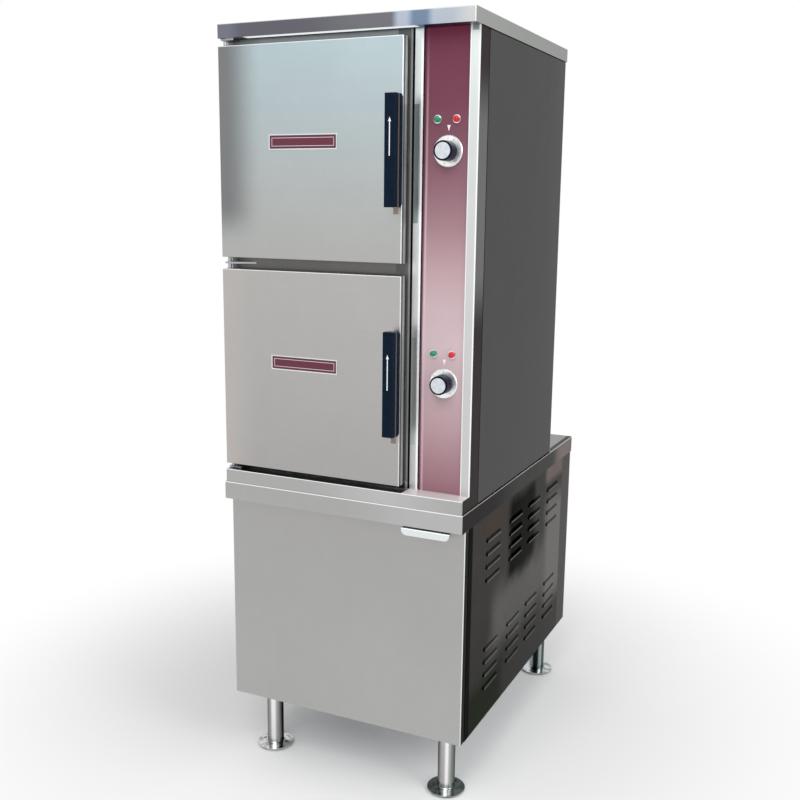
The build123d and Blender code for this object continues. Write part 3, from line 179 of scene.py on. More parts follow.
class Graph:
    """A node tree with one method that makes every kind of node."""

    def __init__(self, tree: bpy.types.NodeTree) -> None:
        """Empty the tree, so that only what is asked for stands in it."""
        self.tree = tree
        tree.nodes.clear()

    def node(self, kind: str, settings: dict | None = None, sockets: dict | None = None,
             out: int | str = 0) -> Wire | None:
        """Add a node.

        Args:
            kind: The node's type name.
            settings: Properties that are set first; "stops" gives a colour ramp's (place, colour) pairs.
            sockets: A value or a Wire for each input, by name or number.
            out: The output that is returned.

        Returns:
            The output as a Wire, or None for a node that has no outputs.
        """
        made = self.tree.nodes.new(kind)
        for key, value in (settings or {}).items():
            if key == "stops":
                elements = made.color_ramp.elements
                while len(elements) < len(value):
                    elements.new(0.5)
                for element, (place, colour) in zip(elements, value):
                    element.position = place
                    element.color = (*colour, 1.0)
            else:
                setattr(made, key, value)
        for key, value in (sockets or {}).items():
            socket = made.inputs[key]
            if isinstance(value, Wire):
                self.tree.links.new(value.socket, socket)
            else:
                socket.default_value = (*value, 1.0) if socket.type == "RGBA" else value
        return Wire(self, made.outputs[out]) if len(made.outputs) else None

    @cached_property
    def place(self) -> Wire:
        """The object coordinates as a vector, in metres."""
        return self.node("ShaderNodeTexCoord", out="Object")

    @cached_property
    def axes(self) -> list[Wire]:
        """The object coordinates along x, y and z, in metres."""
        return [self.node("ShaderNodeSeparateXYZ", {}, {0: self.place}, out=i) for i in range(3)]

    def sum(self, operation: str, *values: Wire | float) -> Wire:
        """Return what a Math node makes of one value or two."""
        return self.node("ShaderNodeMath", {"operation": operation}, dict(enumerate(values)))

    def length(self, across: Wire, up: Wire) -> Wire:
        """Return sqrt(across^2 + up^2)."""
        return self.sum("SQRT", across * across + up * up)

    def step(self, value: Wire, start: float, end: float) -> Wire:
        """Return a smooth rise from 0 where the value is start to 1 where it is end."""
        return self.node("ShaderNodeMapRange", {"interpolation_type": "SMOOTHSTEP"},
                         {"Value": value, "From Min": start, "From Max": end})

    def noise(self, stretch: Place, detail: float = 2.0, rough: float = 0.5, bend: float = 0.0,
              shift: Place = (0.0, 0.0, 0.0)) -> Wire:
        """Return fractal noise from 0 to 1.

        Args:
            stretch: Cycles per metre along x, y and z.
            detail: How many finer layers are added.
            rough: The weight of the finer layers.
            bend: How far the noise bends itself.
            shift: A move of the pattern, so that two patterns differ.

        Returns:
            The noise at each point.
        """
        moved = self.node("ShaderNodeMapping", {},
                          {"Vector": self.place, "Location": shift, "Scale": stretch})
        return self.node("ShaderNodeTexNoise", {}, {"Vector": moved, "Scale": 1.0, "Detail": detail,
                                                    "Roughness": rough, "Distortion": bend})

    def ramp(self, place: Wire, stops: Stops) -> Wire:
        """Return the colour that the stops give at the place, from 0 to 1."""
        return self.node("ShaderNodeValToRGB", {"stops": stops}, {0: place})

    def mix(self, share: Wire, first: Wire | Colour, second: Wire | Colour) -> Wire:
        """Return the first colour blended towards the second by the share."""
        return self.node("ShaderNodeMix", {"data_type": "RGBA"}, {0: share, 6: first, 7: second}, out=2)

    def dim(self, colour: Wire | Colour, share: Wire) -> Wire:
        """Return the colour multiplied by one value, which may be over 1."""
        return self.node("ShaderNodeVectorMath", {"operation": "SCALE"}, {0: colour, "Scale": share})

    def bump(self, height: Wire, depth: float, strength: float = 0.5) -> Wire:
        """Return the normal of a relief of that depth, in metres."""
        return self.node("ShaderNodeBump", {}, {"Strength": strength, "Distance": depth, "Height": height})

    def shader(self, sockets: dict[str, Wire | Colour | float]) -> Wire:
        """Return the surface shader with these values on its sockets."""
        return self.node("ShaderNodeBsdfPrincipled", {}, sockets)


@dataclass(frozen=True)
class Tone:
    """A soft-edged region of a surface in another tint, mostly painted light and shade.

    The mask is the product, over the axes that have limits, of a smooth rise inside the low limit and a
    smooth fall inside the high limit, each `soft` metres long, or one length for each axis. A ragged
    region's limits wander by noise that is up to half of `ragged` either way.
    """

    tint: Colour
    share: float = 1.0
    x: Span = FREE
    y: Span = FREE
    z: Span = FREE
    soft: float | Place = 0.02
    ragged: float = 0.0
    rags: Place = (9.0, 9.0, 9.0)

    def mask(self, graph: Graph) -> Wire | float:
        """Build the region's mask.

        Args:
            graph: The graph to build it in.

        Returns:
            The share of the tint at each point.
        """
        made: Wire | float = self.share
        softs = self.soft if isinstance(self.soft, tuple) else (self.soft,) * 3
        for place, (low, high), soft in zip(graph.axes, (self.x, self.y, self.z), softs):
            if (low, high) == FREE:
                continue
            if self.ragged:
                place = place + (graph.noise(self.rags, 3.0) - 0.5) * self.ragged
            if low is not None:
                made = graph.step(place, low, low + soft) * made
            if high is not None:
                made = graph.step(place, high, high - soft) * made
        return made


# ---------------------------------------------------------------- finishes
@dataclass(frozen=True)
class Finish:
    """What every finish has: a tint, a gloss, soft clouds of tone and regions of other tints."""

    tint: Colour
    roughness: float = 0.4
    cloud: float = 0.08
    cloud_size: float = 0.25
    # painted light: tints up the height that stand in for reflections and shade
    shades: Stops = ()
    tones: tuple[Tone, ...] = ()

    def colour(self, graph: Graph) -> Wire:
        """Build the colour: the tint or the painted light up the height, the tinted regions, then clouds.

        Args:
            graph: The graph to build it in.

        Returns:
            The colour at each point.
        """
        made: Wire | Colour = self.tint
        if self.shades:
            low, high = self.shades[0][0], self.shades[-1][0]
            made = graph.ramp((graph.axes[2] - low) / (high - low),
                              tuple(((z - low) / (high - low), tint) for z, tint in self.shades))
        for tone in self.tones:
            made = graph.mix(tone.mask(graph), made, tone.tint)
        rate = 1.0 / self.cloud_size
        clouds = graph.noise((rate, rate, rate), 3.0, 0.55)
        flecks = graph.noise((rate * 9.0, rate * 9.0, rate * 5.0), 4.0, 0.6, shift=(0.7, 2.3, 4.1))
        return graph.dim(made, 1.0 + (clouds + flecks * 0.6 - 0.8) * (2.0 * self.cloud))

    def surface(self, graph: Graph) -> Wire:
        """Build the finish's own shader; each finish gives its own."""
        raise NotImplementedError

    def build(self, name: str) -> bpy.types.Material:
        """Make the material.

        Args:
            name: The material's name.

        Returns:
            The material, ready to assign.
        """
        made = bpy.data.materials.new(name)
        made.use_nodes = True
        graph = Graph(made.node_tree)
        graph.node("ShaderNodeOutputMaterial", {}, {"Surface": self.surface(graph)})
        made.diffuse_color = (*self.tint, 1.0)
        return made


@dataclass(frozen=True)
class Metal(Finish):
    """Bare metal with grinding marks along one direction, rubbed patches and fine scratches.

    A `matt` region is less of a mirror, and only its mask counts. A region that glows is painted light: it
    glows in its tint, standing in for a fold that catches the light.
    """

    run: Run = Run.X
    marks: float = 0.08
    marks_depth: float = 0.000006
    smudge: float = 0.08
    rim: float = 0.5
    matt: tuple[Tone, ...] = ()
    lit: tuple[Tone, ...] = ()

    def surface(self, graph: Graph) -> Wire:
        """Build the shader: colour and gloss both follow the grinding marks, which are fine noise with
        noise six times broader in it, and patches that are rubbed are duller.

        Args:
            graph: The graph to build it in.

        Returns:
            The shader.
        """
        along = self.run.value
        fine = graph.noise(along, 3.0, 0.7)
        broad = graph.noise(tuple(v / 6.0 for v in along), 2.0, 0.5, shift=(3.1, 1.7, 0.4))
        marks = fine * 0.6 + broad * 0.4
        patches = graph.step(graph.noise((5.0, 5.0, 4.0), 4.0, 0.6, 0.6, (0.3, 5.2, 1.9)), 0.45, 0.75)
        mirror: Wire | float = 1.0
        for tone in self.matt:
            mirror = (1.0 - tone.mask(graph)) * mirror
        # painted light: the emission of the glowing regions
        glow: Wire | Colour = NO_LIGHT
        for tone in self.lit:
            glow = graph.mix(tone.mask(graph), glow, tone.tint)
        return graph.shader({
            "Base Color": graph.dim(self.colour(graph), 1.0 + (marks - 0.5) * (2.0 * self.marks)),
            "Metallic": mirror,
            "Roughness": self.roughness + patches * self.smudge + (marks - 0.5) * 0.12,
            "Normal": graph.bump(marks, self.marks_depth),
            "Emission Color": glow,
            "Emission Strength": 1.0 if self.lit else 0.0,
            "Specular Tint": (self.rim, self.rim, self.rim)})


@dataclass(frozen=True)
class Tube(Metal):
    """Polished leg tubes and feet: painted reflections run up each tube in bands of light and shade, each
    flange has a painted lit tint for its leg, and fine turned rings cross the flange.

    The side s of a tube that a point is on is dot((x, y) - centre, across) / radius, and the nearest leg's
    centre is (sign(x) * leg_x, front_y or rear_y).
    """

    left: Stops = ()
    right: Stops = ()
    rear: Stops = ()
    # painted light: one flange tint for the left, the right and the rear legs, each lit differently
    flanges: tuple[Colour, Colour, Colour] = ((0.2, 0.2, 0.2),) * 3
    leg_x: float = 0.238
    front_y: float = -0.324
    rear_y: float = 0.384
    radius: float = 0.02065
    across: tuple[float, float] = (0.844, 0.536)
    flange_from: float = 0.0212
    flange_full: float = 0.0222
    ring_rate: float = 4200.0

    def colour(self, graph: Graph) -> Wire:
        """Build the painted reflection bands on the tubes, and the flanges' painted lit tints and rings.

        Args:
            graph: The graph to build it in.

        Returns:
            The colour at each point.
        """
        x, y, _ = graph.axes
        behind = graph.step(y, 0.02, 0.04)
        to_right = graph.step(x, -0.01, 0.01)
        dx = x - graph.sum("SIGN", x) * self.leg_x
        dy = y - self.front_y - behind * (self.rear_y - self.front_y)
        turn = (dx * self.across[0] + dy * self.across[1]) / self.radius
        far = graph.length(dx, dy)
        tubes = [graph.ramp(turn * 0.5 + 0.5, stops) for stops in (self.left, self.right, self.rear)]
        bands, flange = (graph.mix(behind, graph.mix(to_right, left, right), rear)
                         for left, right, rear in (tubes, self.flanges))
        rings = graph.sum("SINE", far * self.ring_rate)
        spots = graph.step(graph.noise((55.0, 55.0, 20.0), 2.0, 0.5), 0.42, 0.62)
        flange = graph.dim(flange, 1.15 + rings * 0.1 - spots * 0.5)
        both = graph.mix(graph.step(far, self.flange_from, self.flange_full), bands, flange)
        clouds = graph.noise((30.0, 30.0, 8.0), 3.0)
        return graph.dim(both, 1.0 + (clouds - 0.5) * (2.0 * self.cloud))


@dataclass(frozen=True)
class Spun(Finish):
    """Metal turned on a lathe: fine rings round an axis that points to the front.

    With a `face_radius`, only the face within it is metal, and the rest is the moulded body.
    """

    centres: tuple[tuple[float, float], ...] = ()
    pitch: float = 0.0011
    marks: float = 0.12
    body: Colour = (0.0, 0.0, 0.0)
    face_radius: float | None = None
    face_edge: float = 0.0003
    reach: float = 0.06

    def surface(self, graph: Graph) -> Wire:
        """Build the shader: the rings follow the distance r = sqrt(dx^2 + dz^2) from the nearest centre,
            and painted light and shade swing four times round the face with cos(4 * angle), as on a spun
            disc.

        Args:
            graph: The graph to build it in.

        Returns:
            The shader.
        """
        rings: Wire | float = 0.0
        fans: Wire | float = 0.0
        face: Wire | float = 0.0
        for cx, cz in self.centres:
            dx, dz = graph.axes[0] - cx, graph.axes[2] - cz
            far = graph.length(dx, dz)
            near = graph.step(far, self.reach + 0.02, self.reach)
            rings = near * graph.sum("SINE", far * (2 * math.pi / self.pitch)) + rings
            # painted light and shade in four sectors round each face
            fans = near * graph.sum("COSINE", graph.sum("ARCTAN2", dz, dx) * 4.0 + 0.9) + fans
            if self.face_radius is not None:
                face = graph.step(far, self.face_radius + self.face_edge, self.face_radius) + face
        grit = graph.noise((1500.0, 1500.0, 1500.0), 2.0)
        shade = 1.0 + rings * (0.35 * self.marks) + fans * self.marks + (grit - 0.5) * 0.1
        metal = graph.dim(self.colour(graph), shade)
        gloss = self.roughness + (grit - 0.5) * 0.1
        normal = graph.bump(rings, 0.00002)
        if self.face_radius is None:
            return graph.shader({"Base Color": metal, "Metallic": 1.0, "Roughness": gloss, "Normal": normal})
        body = graph.dim(self.body, 0.8 + grit * 0.4)
        return graph.shader({
            "Base Color": graph.mix(face, body, metal), "Metallic": face, "Specular IOR Level": 0.04,
            "Roughness": gloss + (1.0 - face) * 0.05, "Normal": normal})


@dataclass(frozen=True)
class Coating(Finish):
    """Paint, moulded plastic, rubber or enamel: a coloured skin with a fine grain in its gloss."""

    grain: float = 700.0
    grain_depth: float = 0.00005
    dust: float = 0.05
    dust_tint: Colour = (0.45, 0.44, 0.42)
    coat: float = 0.0
    shine: float = 0.5
    # painted light: the emission strength, for parts that glow though they are not lit
    glow: float = 0.0

    def surface(self, graph: Graph) -> Wire:
        """Build the shader: grain in the normal, dust as a pale film that breaks up.

        Args:
            graph: The graph to build it in.

        Returns:
            The shader.
        """
        grain = graph.noise((self.grain, self.grain, self.grain), 3.0, 0.6)
        film = graph.step(graph.noise((14.0, 14.0, 10.0), 5.0, 0.65, 0.4, (2.0, 0.0, 7.0)), 0.5, 0.9)
        return graph.shader({
            "Base Color": graph.mix(film * self.dust, self.colour(graph), self.dust_tint),
            "Roughness": self.roughness + film * 0.15 + (grain - 0.5) * 0.1,
            "Normal": graph.bump(grain, self.grain_depth, 0.6),
            "Coat Weight": self.coat, "Coat Roughness": 0.08, "Specular IOR Level": self.shine,
            "Emission Color": self.tint, "Emission Strength": self.glow})


@dataclass(frozen=True)
class Plate(Finish):
    """A metal plate with an enamelled field: inside the field it is paint, outside bare metal."""

    enamel_tint: Colour = (0.2, 0.02, 0.05)
    enamel: Tone = Tone(WHITE)
    line_outer: Tone = Tone(WHITE)
    line_inner: Tone = Tone(WHITE)

    def surface(self, graph: Graph) -> Wire:
        """Build the shader: enamel fills the field apart from the thin line, which lies between its own
        outer and inner outlines, and the masks set colour, gloss and how metallic it is.

        Args:
            graph: The graph to build it in.

        Returns:
            The shader.
        """
        line = self.line_outer.mask(graph) * (1.0 - self.line_inner.mask(graph))
        inside = self.enamel.mask(graph) * (1.0 - line)
        grit = graph.noise((900.0, 900.0, 900.0), 2.0)
        enamel = graph.dim(self.enamel_tint, 0.93 + grit * 0.14)
        return graph.shader({
            "Base Color": graph.mix(inside, self.colour(graph), enamel), "Metallic": 1.0 - inside,
            "Roughness": self.roughness + inside * 0.1 + (grit - 0.5) * 0.08})


@dataclass(frozen=True)
class Fleece(Finish):
    """Mineral wool: crossing fibres with soft lumps."""

    def surface(self, graph: Graph) -> Wire:
        """Build the shader: two crossed fibre noises in the colour and in the normal.

        Args:
            graph: The graph to build it in.

        Returns:
            The shader.
        """
        one = graph.noise((60.0, 900.0, 420.0), 4.0, 0.7, 1.2)
        two = graph.noise((700.0, 160.0, 90.0), 4.0, 0.7, 1.2, (4.0, 1.0, 2.0))
        fibres = one * 0.5 + two * 0.5
        return graph.shader({
            "Base Color": graph.dim(self.colour(graph), 0.6 + fibres * 0.8), "Roughness": 0.9,
            "Sheen Weight": 0.3, "Normal": graph.bump(fibres, 0.0006, 0.9)})


# ---------------------------------------------------------------- surfaces
@dataclass
class Skin:
    """A surface that is being put together: its points, the numbers of the points at the corners of its
    faces, one face after another, and how many corners each face has."""

    points: np.ndarray
    corners: np.ndarray
    sizes: np.ndarray

    @property
    def starts(self) -> np.ndarray:
        """Where each face begins in the row of corners."""
        return np.cumsum(self.sizes) - self.sizes

    def moved(self, x: float = 0.0, y: float = 0.0, z: float = 0.0) -> Skin:
        """Return a copy moved by x, y and z."""
        return Skin(self.points + np.array([x, y, z]), self.corners, self.sizes)

    def turned(self, degrees: float, axis: str = "Z") -> Skin:
        """Return a copy turned about an axis through the origin."""
        turn = np.array(Matrix.Rotation(math.radians(degrees), 3, axis))
        return Skin(self.points @ turn.T, self.corners, self.sizes)

    def with_faces(self, *faces: np.ndarray) -> Skin:
        """Return a copy with more faces; each array holds faces of one size, a row for each face."""
        return Skin(self.points, np.concatenate([self.corners, *(f.ravel() for f in faces)]),
                    np.concatenate([self.sizes, *(np.full(len(f), f.shape[1]) for f in faces)]))

    @staticmethod
    def joined(parts: list[Skin]) -> Skin:
        """Return one skin that holds all the parts.

        Args:
            parts: The skins to join.

        Returns:
            The points and faces of all of them.
        """
        shifts = np.cumsum([0] + [len(part.points) for part in parts])
        return Skin(np.concatenate([part.points for part in parts]),
                    np.concatenate([part.corners + shift for part, shift in zip(parts, shifts)]),
                    np.concatenate([part.sizes for part in parts]))

    def outward(self) -> Skin:
        """Return the skin with its faces turned outwards, by the sign of its volume.

        The volume is the sum, over the edges (b, c) of every face, of dot(a, cross(b, c)) / 6, where a is
        the face's first point.

        Returns:
            This skin, or a copy with every face reversed.
        """
        after = np.arange(1, len(self.corners) + 1)
        after[self.starts + self.sizes - 1] = self.starts
        a = self.points[np.repeat(self.corners[self.starts], self.sizes)]
        b, c = self.points[self.corners], self.points[self.corners[after]]
        volume = float(np.einsum("ij,ij->", a, np.cross(b, c))) / 6.0
        return self if volume > 0.0 else Skin(self.points, self.corners[::-1], self.sizes[::-1])


def net(rows: np.ndarray, close_rows: bool = False) -> Skin:
    """Return a skin of quads through rows of points, each row a closed ring.

    Args:
        rows: The points, as an array of rows, points and three values.
        close_rows: Whether the last row joins the first.

    Returns:
        The skin, open at its first and last row unless they join.
    """
    count, ring = rows.shape[:2]
    i, j = np.meshgrid(np.arange(count if close_rows else count - 1), np.arange(ring), indexing="ij")
    ni, nj = (i + 1) % count, (j + 1) % ring
    quads = np.stack([i * ring + j, ni * ring + j, ni * ring + nj, i * ring + nj], -1)
    return Skin(rows.reshape(-1, 3), quads.ravel(), np.full(i.size, 4))


def capped(rows: np.ndarray) -> Skin:
    """Return a closed skin through rows of points, with a flat face over its first and its last row.

    Args:
        rows: The points, as an array of rows, points and three values.

    Returns:
        A closed skin.
    """
    count, ring = rows.shape[:2]
    first = np.arange(ring)[None]
    return net(rows).with_faces(first, first[:, ::-1] + (count - 1) * ring).outward()


def lathe(profile: Outline, steps: int) -> Skin:
    """Spin a closed profile of (radius, height) points round an axis that points to the front.

    Point (t, s) is (r(t) cos s, -h(t), r(t) sin s). Points on the axis are one point, where triangles
    meet.

    Args:
        profile: Points from the axis outwards and back to the axis, or a loop off the axis.
        steps: Points round the axis.

    Returns:
        A closed skin.
    """
    radii, heights = np.array(profile, float).T
    s = np.linspace(0.0, 2.0 * math.pi, steps, endpoint=False)
    rings = np.stack([np.outer(radii, np.cos(s)), np.broadcast_to(-heights[:, None], (len(radii), steps)),
                      np.outer(radii, np.sin(s))], -1)
    if not np.isclose(radii[[0, -1]], 0.0).all():
        return net(rings, True).outward()
    side = net(rings[1:-1])
    count = len(side.points)
    here, after = np.arange(steps), (np.arange(steps) + 1) % steps
    last, pole = count - steps, np.full(steps, count)
    ends = np.stack([here, after, pole], -1), np.stack([after + last, here + last, pole + 1], -1)
    both = np.concatenate([side.points, rings[[0, -1], 0]])
    return Skin(both, side.corners, side.sizes).with_faces(*ends).outward()


def rounded_outline(half_width: float, half_height: float, corner: float,
                    steps: int) -> tuple[np.ndarray, np.ndarray]:
    """Return a rounded rectangle's points and outward directions.

    Each corner is an arc of `steps` points about (+-(half_width - corner), +-(half_height - corner)),
    and the straight sides are the gaps between the arcs.

    Args:
        half_width: Half the outer width.
        half_height: Half the outer height.
        corner: The outer corner radius.
        steps: Points in each corner.

    Returns:
        Points and unit directions, each as an (n, 2) array.
    """
    angles = (np.arange(4)[:, None] * 90.0 + np.linspace(0.0, 90.0, steps)).ravel()
    ways = np.stack([np.cos(np.radians(angles)), np.sin(np.radians(angles))], -1)
    signs = np.repeat(np.array([[1, 1], [-1, 1], [-1, -1], [1, -1]]), steps, axis=0)
    middle = signs * np.array([half_width - corner, half_height - corner])
    return middle + ways * corner, ways


def plate_of(outline: Outline, thickness: float) -> Skin:
    """Return a flat plate in the x-z plane whose front lies the thickness before its back, towards -y.

    Args:
        outline: Corner points (x, z) in order.
        thickness: How far the front stands before the back.

    Returns:
        A closed skin.
    """
    back = np.insert(np.array(outline, float), 1, 0.0, axis=1)
    return capped(np.stack([back, back - np.array([0.0, thickness, 0.0])]))


def bead(radius: float, section: float, ripples: int, turn: Turn) -> Skin:
    """Return a weld bead round an axis.

    A point of it stands at (R + r cos s) along the ring's radius and at r sin s along the axis, where r
    swells round the ring as section * (0.82 + 0.18 * sin(ripples * t)).

    Args:
        radius: The ring's radius R.
        section: The bead's largest radius.
        ripples: The number of ripples round the ring.
        turn: The axis.

    Returns:
        A closed skin.
    """
    per_ripple, around = 6, 10
    t, s = np.meshgrid(np.linspace(0.0, 2.0 * math.pi, ripples * per_ripple, endpoint=False),
                       np.linspace(0.0, 2.0 * math.pi, around, endpoint=False), indexing="ij")
    swell = section * (0.82 + 0.18 * np.sin(ripples * t))
    out, along = radius + swell * np.cos(s), swell * np.sin(s)
    first, second = out * np.cos(t), out * np.sin(t)
    parts = (first, along, second) if turn is Turn.Y else (first, second, along)
    return net(np.stack(parts, -1), True).outward()


def words(text: str, size: float, thickness: float) -> Skin:
    """Return upright numerals as a closed skin that faces the front, centred on the origin.

    Args:
        text: The figures to set.
        size: The height of the type.
        thickness: How far they stand proud.

    Returns:
        A closed skin.
    """
    curve = bpy.data.curves.new("type", "FONT")
    curve.body = text
    curve.size = size
    curve.extrude = thickness / 2.0
    curve.align_x, curve.align_y = "CENTER", "CENTER"
    curve.resolution_u = 3
    holder = bpy.data.objects.new("type", curve)
    mesh = bpy.data.meshes.new_from_object(holder)
    points = np.zeros((len(mesh.vertices), 3), np.float32)
    corners = np.zeros(len(mesh.loops), np.int32)
    sizes = np.zeros(len(mesh.polygons), np.int32)
    mesh.vertices.foreach_get("co", points.ravel())
    mesh.loops.foreach_get("vertex_index", corners)
    mesh.polygons.foreach_get("loop_total", sizes)
    bpy.data.objects.remove(holder)
    bpy.data.curves.remove(curve)
    bpy.data.meshes.remove(mesh)
    return Skin(points[:, [0, 2, 1]] * np.array([1.0, -1.0, 1.0]), corners, sizes)


# ---------------------------------------------------------------- workshop
@dataclass
class Shop:
    """Hands out the finishes and puts new pieces on the frame."""

    frame: dict
    made: dict[Finish, bpy.types.Material] = field(default_factory=dict)

    def material(self, name: str, finish: Finish) -> bpy.types.Material:
        """Return the finish as a material, made once.

        Args:
            name: The name that it gets when it is made.
            finish: The finish.

        Returns:
            The material.
        """
        if finish not in self.made:
            self.made[finish] = finish.build(name)
        return self.made[finish]

    def dress(self, nodes: str, name: str, finish: Finish) -> None:
        """Give CAD nodes a finish.

        Args:
            nodes: The nodes' names with blanks between.
            name: The material's name.
            finish: The finish.
        """
        material = self.material(name, finish)
        for node in nodes.split():
            for place in self.frame["nodes"][node].material_slots:
                place.material = material
        LOG.info("dressed %s in %s", nodes, name)

    def piece(self, name: str, skin: Skin, finish: Finish, body: str, slot: str,
              sharp: float = 35.0, replaces: tuple[str, ...] = ()) -> None:
        """Make a new piece, at the origin with its place in its mesh.

        Args:
            name: The piece's name.
            skin: Its surface.
            finish: Its finish.
            body: The body that it rides on.
            slot: The record's material slot that it stands for; not used.
            sharp: Edges over this angle stay sharp.
            replaces: CAD nodes that it stands for.
        """
        mesh = bpy.data.meshes.new(name)
        mesh.vertices.add(len(skin.points))
        mesh.vertices.foreach_set("co", skin.points.ravel())
        mesh.loops.add(len(skin.corners))
        mesh.loops.foreach_set("vertex_index", skin.corners)
        mesh.polygons.add(len(skin.sizes))
        mesh.polygons.foreach_set("loop_start", skin.starts)
        mesh.update(calc_edges=True)
        mesh.shade_smooth()
        mesh.set_sharp_from_angle(angle=math.radians(sharp))
        mesh.materials.append(self.material(name + "_finish", finish))
        made = bpy.data.objects.new(name, mesh)
        bpy.context.scene.collection.objects.link(made)
        if replaces:
            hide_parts(*replaces)
        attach(made, body)
        LOG.info("made %s on %s: %d faces", name, body, len(skin.sizes))


@dataclass(frozen=True)
class Studio:
    """The camera, the floor and the light."""

    focal_pixels: float = 1014.38
    picture_pixels: float = 800.0
    film: float = 36.0
    yaw: float = -25.031
    pitch: float = 11.071
    roll: float = 0.674
    place: Place = (1.06177, -2.37358, 1.37761)
    world_light: float = 0.62
    lamp_aim: Place = (0.0, 0.0, 0.9)
    lamp_size: float = 2.5
    floor_half: float = 14.0
    floor_tint: Colour = (0.92, 0.92, 0.92)
    fade_from: float = 0.55
    fade_to: float = 1.5

    def camera(self) -> None:
        """Place the camera: look along yaw and pitch, then roll about the line of sight."""
        yaw, pitch, roll = (math.radians(v) for v in (self.yaw, self.pitch, self.roll))
        look = np.array([math.sin(yaw) * math.cos(pitch), math.cos(yaw) * math.cos(pitch), -math.sin(pitch)])
        level = np.array([math.cos(yaw), -math.sin(yaw), 0.0])
        over = np.cross(level, look)
        right = math.cos(roll) * level + math.sin(roll) * over
        up = math.cos(roll) * over - math.sin(roll) * level
        data = bpy.data.cameras.new("camera")
        data.sensor_width = self.film
        data.lens = self.focal_pixels * self.film / self.picture_pixels
        data.clip_end = 100.0
        camera = bpy.data.objects.new("camera", data)
        frame = np.eye(4)
        frame[:3] = np.stack([right, up, -look, self.place], axis=1)
        camera.matrix_world = Matrix(frame.tolist())
        bpy.context.scene.collection.objects.link(camera)
        bpy.context.scene.camera = camera

    def world(self) -> None:
        """Light the scene evenly, and show white to the camera and in metal and glass."""
        world = bpy.data.worlds.new("studio")
        world.use_nodes = True
        bpy.context.scene.world = world
        graph = Graph(world.node_tree)
        strength = self.seen(graph) * (1.0 - self.world_light) + self.world_light
        back = graph.node("ShaderNodeBackground", {}, {"Color": WHITE, "Strength": strength})
        graph.node("ShaderNodeOutputWorld", {}, {"Surface": back})

    @staticmethod
    def seen(graph: Graph) -> Wire:
        """Build a mask of the rays that see the background itself.

        Args:
            graph: The graph to build it in.

        Returns:
            1 for rays of the camera, of reflections and through glass, and 0 for the rest.
        """
        camera, glossy, through = (graph.node("ShaderNodeLightPath", out=name) for name in (
            "Is Camera Ray", "Is Glossy Ray", "Is Transmission Ray"))
        return graph.sum("MAXIMUM", graph.sum("MAXIMUM", camera, glossy), through)

    def lamp(self, name: str, place: Place, watts: float) -> None:
        """Add a soft square lamp that faces the middle of the object.

        Args:
            name: The lamp's name.
            place: Where it stands.
            watts: Its power.
        """
        data = bpy.data.lights.new(name, "AREA")
        data.size = self.lamp_size
        data.energy = watts
        lamp = bpy.data.objects.new(name, data)
        back = Vector(place) - Vector(self.lamp_aim)
        lamp.matrix_world = Matrix.Translation(place) @ back.to_track_quat("Z", "Y").to_matrix().to_4x4()
        bpy.context.scene.collection.objects.link(lamp)

    def floor(self) -> None:
        """Lay a pale floor that keeps the object's shadow and fades to white away from it."""
        h = self.floor_half
        mesh = bpy.data.meshes.new("studio_floor")
        mesh.from_pydata([(-h, -h, 0.0), (h, -h, 0.0), (h, h, 0.0), (-h, h, 0.0)], [], [(0, 1, 2, 3)])
        floor = bpy.data.objects.new("studio_floor", mesh)
        material = bpy.data.materials.new("studio_floor")
        material.use_nodes = True
        graph = Graph(material.node_tree)
        far = graph.length(graph.axes[0], graph.axes[1])
        fade = graph.step(far, self.fade_from, self.fade_to) * self.seen(graph)
        matt = graph.node("ShaderNodeBsdfDiffuse", {}, {"Color": self.floor_tint})
        white = graph.node("ShaderNodeEmission", {}, {"Color": WHITE, "Strength": 1.0})
        both = graph.node("ShaderNodeMixShader", {}, {0: fade, 1: matt, 2: white})
        graph.node("ShaderNodeOutputMaterial", {}, {"Surface": both})
        mesh.materials.append(material)
        bpy.context.scene.collection.objects.link(floor)

    def build(self) -> None:
        """Set up the whole studio."""
        bpy.context.scene.view_settings.view_transform = "Standard"
        self.camera()
        self.world()
        self.lamp("front_lamp", place=(0.4, -3.6, 4.0), watts=90.0)
        self.lamp("side_lamp", place=(3.6, -0.8, 2.6), watts=60.0)
        self.floor()


# ---------------------------------------------------------------- the cabinet's finishes
# A sheet's tones are mostly painted light, laid where they are on the metal, each over the ones before it:
# first the painted reflections across the polished face, then painted shade in the folds and gaps, and
# last the painted highlights on the edges.
# near white, the painted highlight on folded edges
PAINTED_HIGHLIGHT = paint(247, 250, 251)
# near black, the painted shade in gaps and recesses
PAINTED_SHADE = paint(14, 14, 14)
CAP_LOW = 1.726
LEDGE_TOP = 0.7484
DECK_LOW = 0.6757
DOOR_HEIGHT = 0.461
DIAL_X = 0.2355
UPPER_SIDE = 0.3016  # x, just inside the outer face of the upper housing's side
BASE_SIDE_X = 0.3042  # x, just inside the outer faces of the cap and the deck
DOOR_SIDE = 0.1474  # x, just inside the closing side of the steam doors


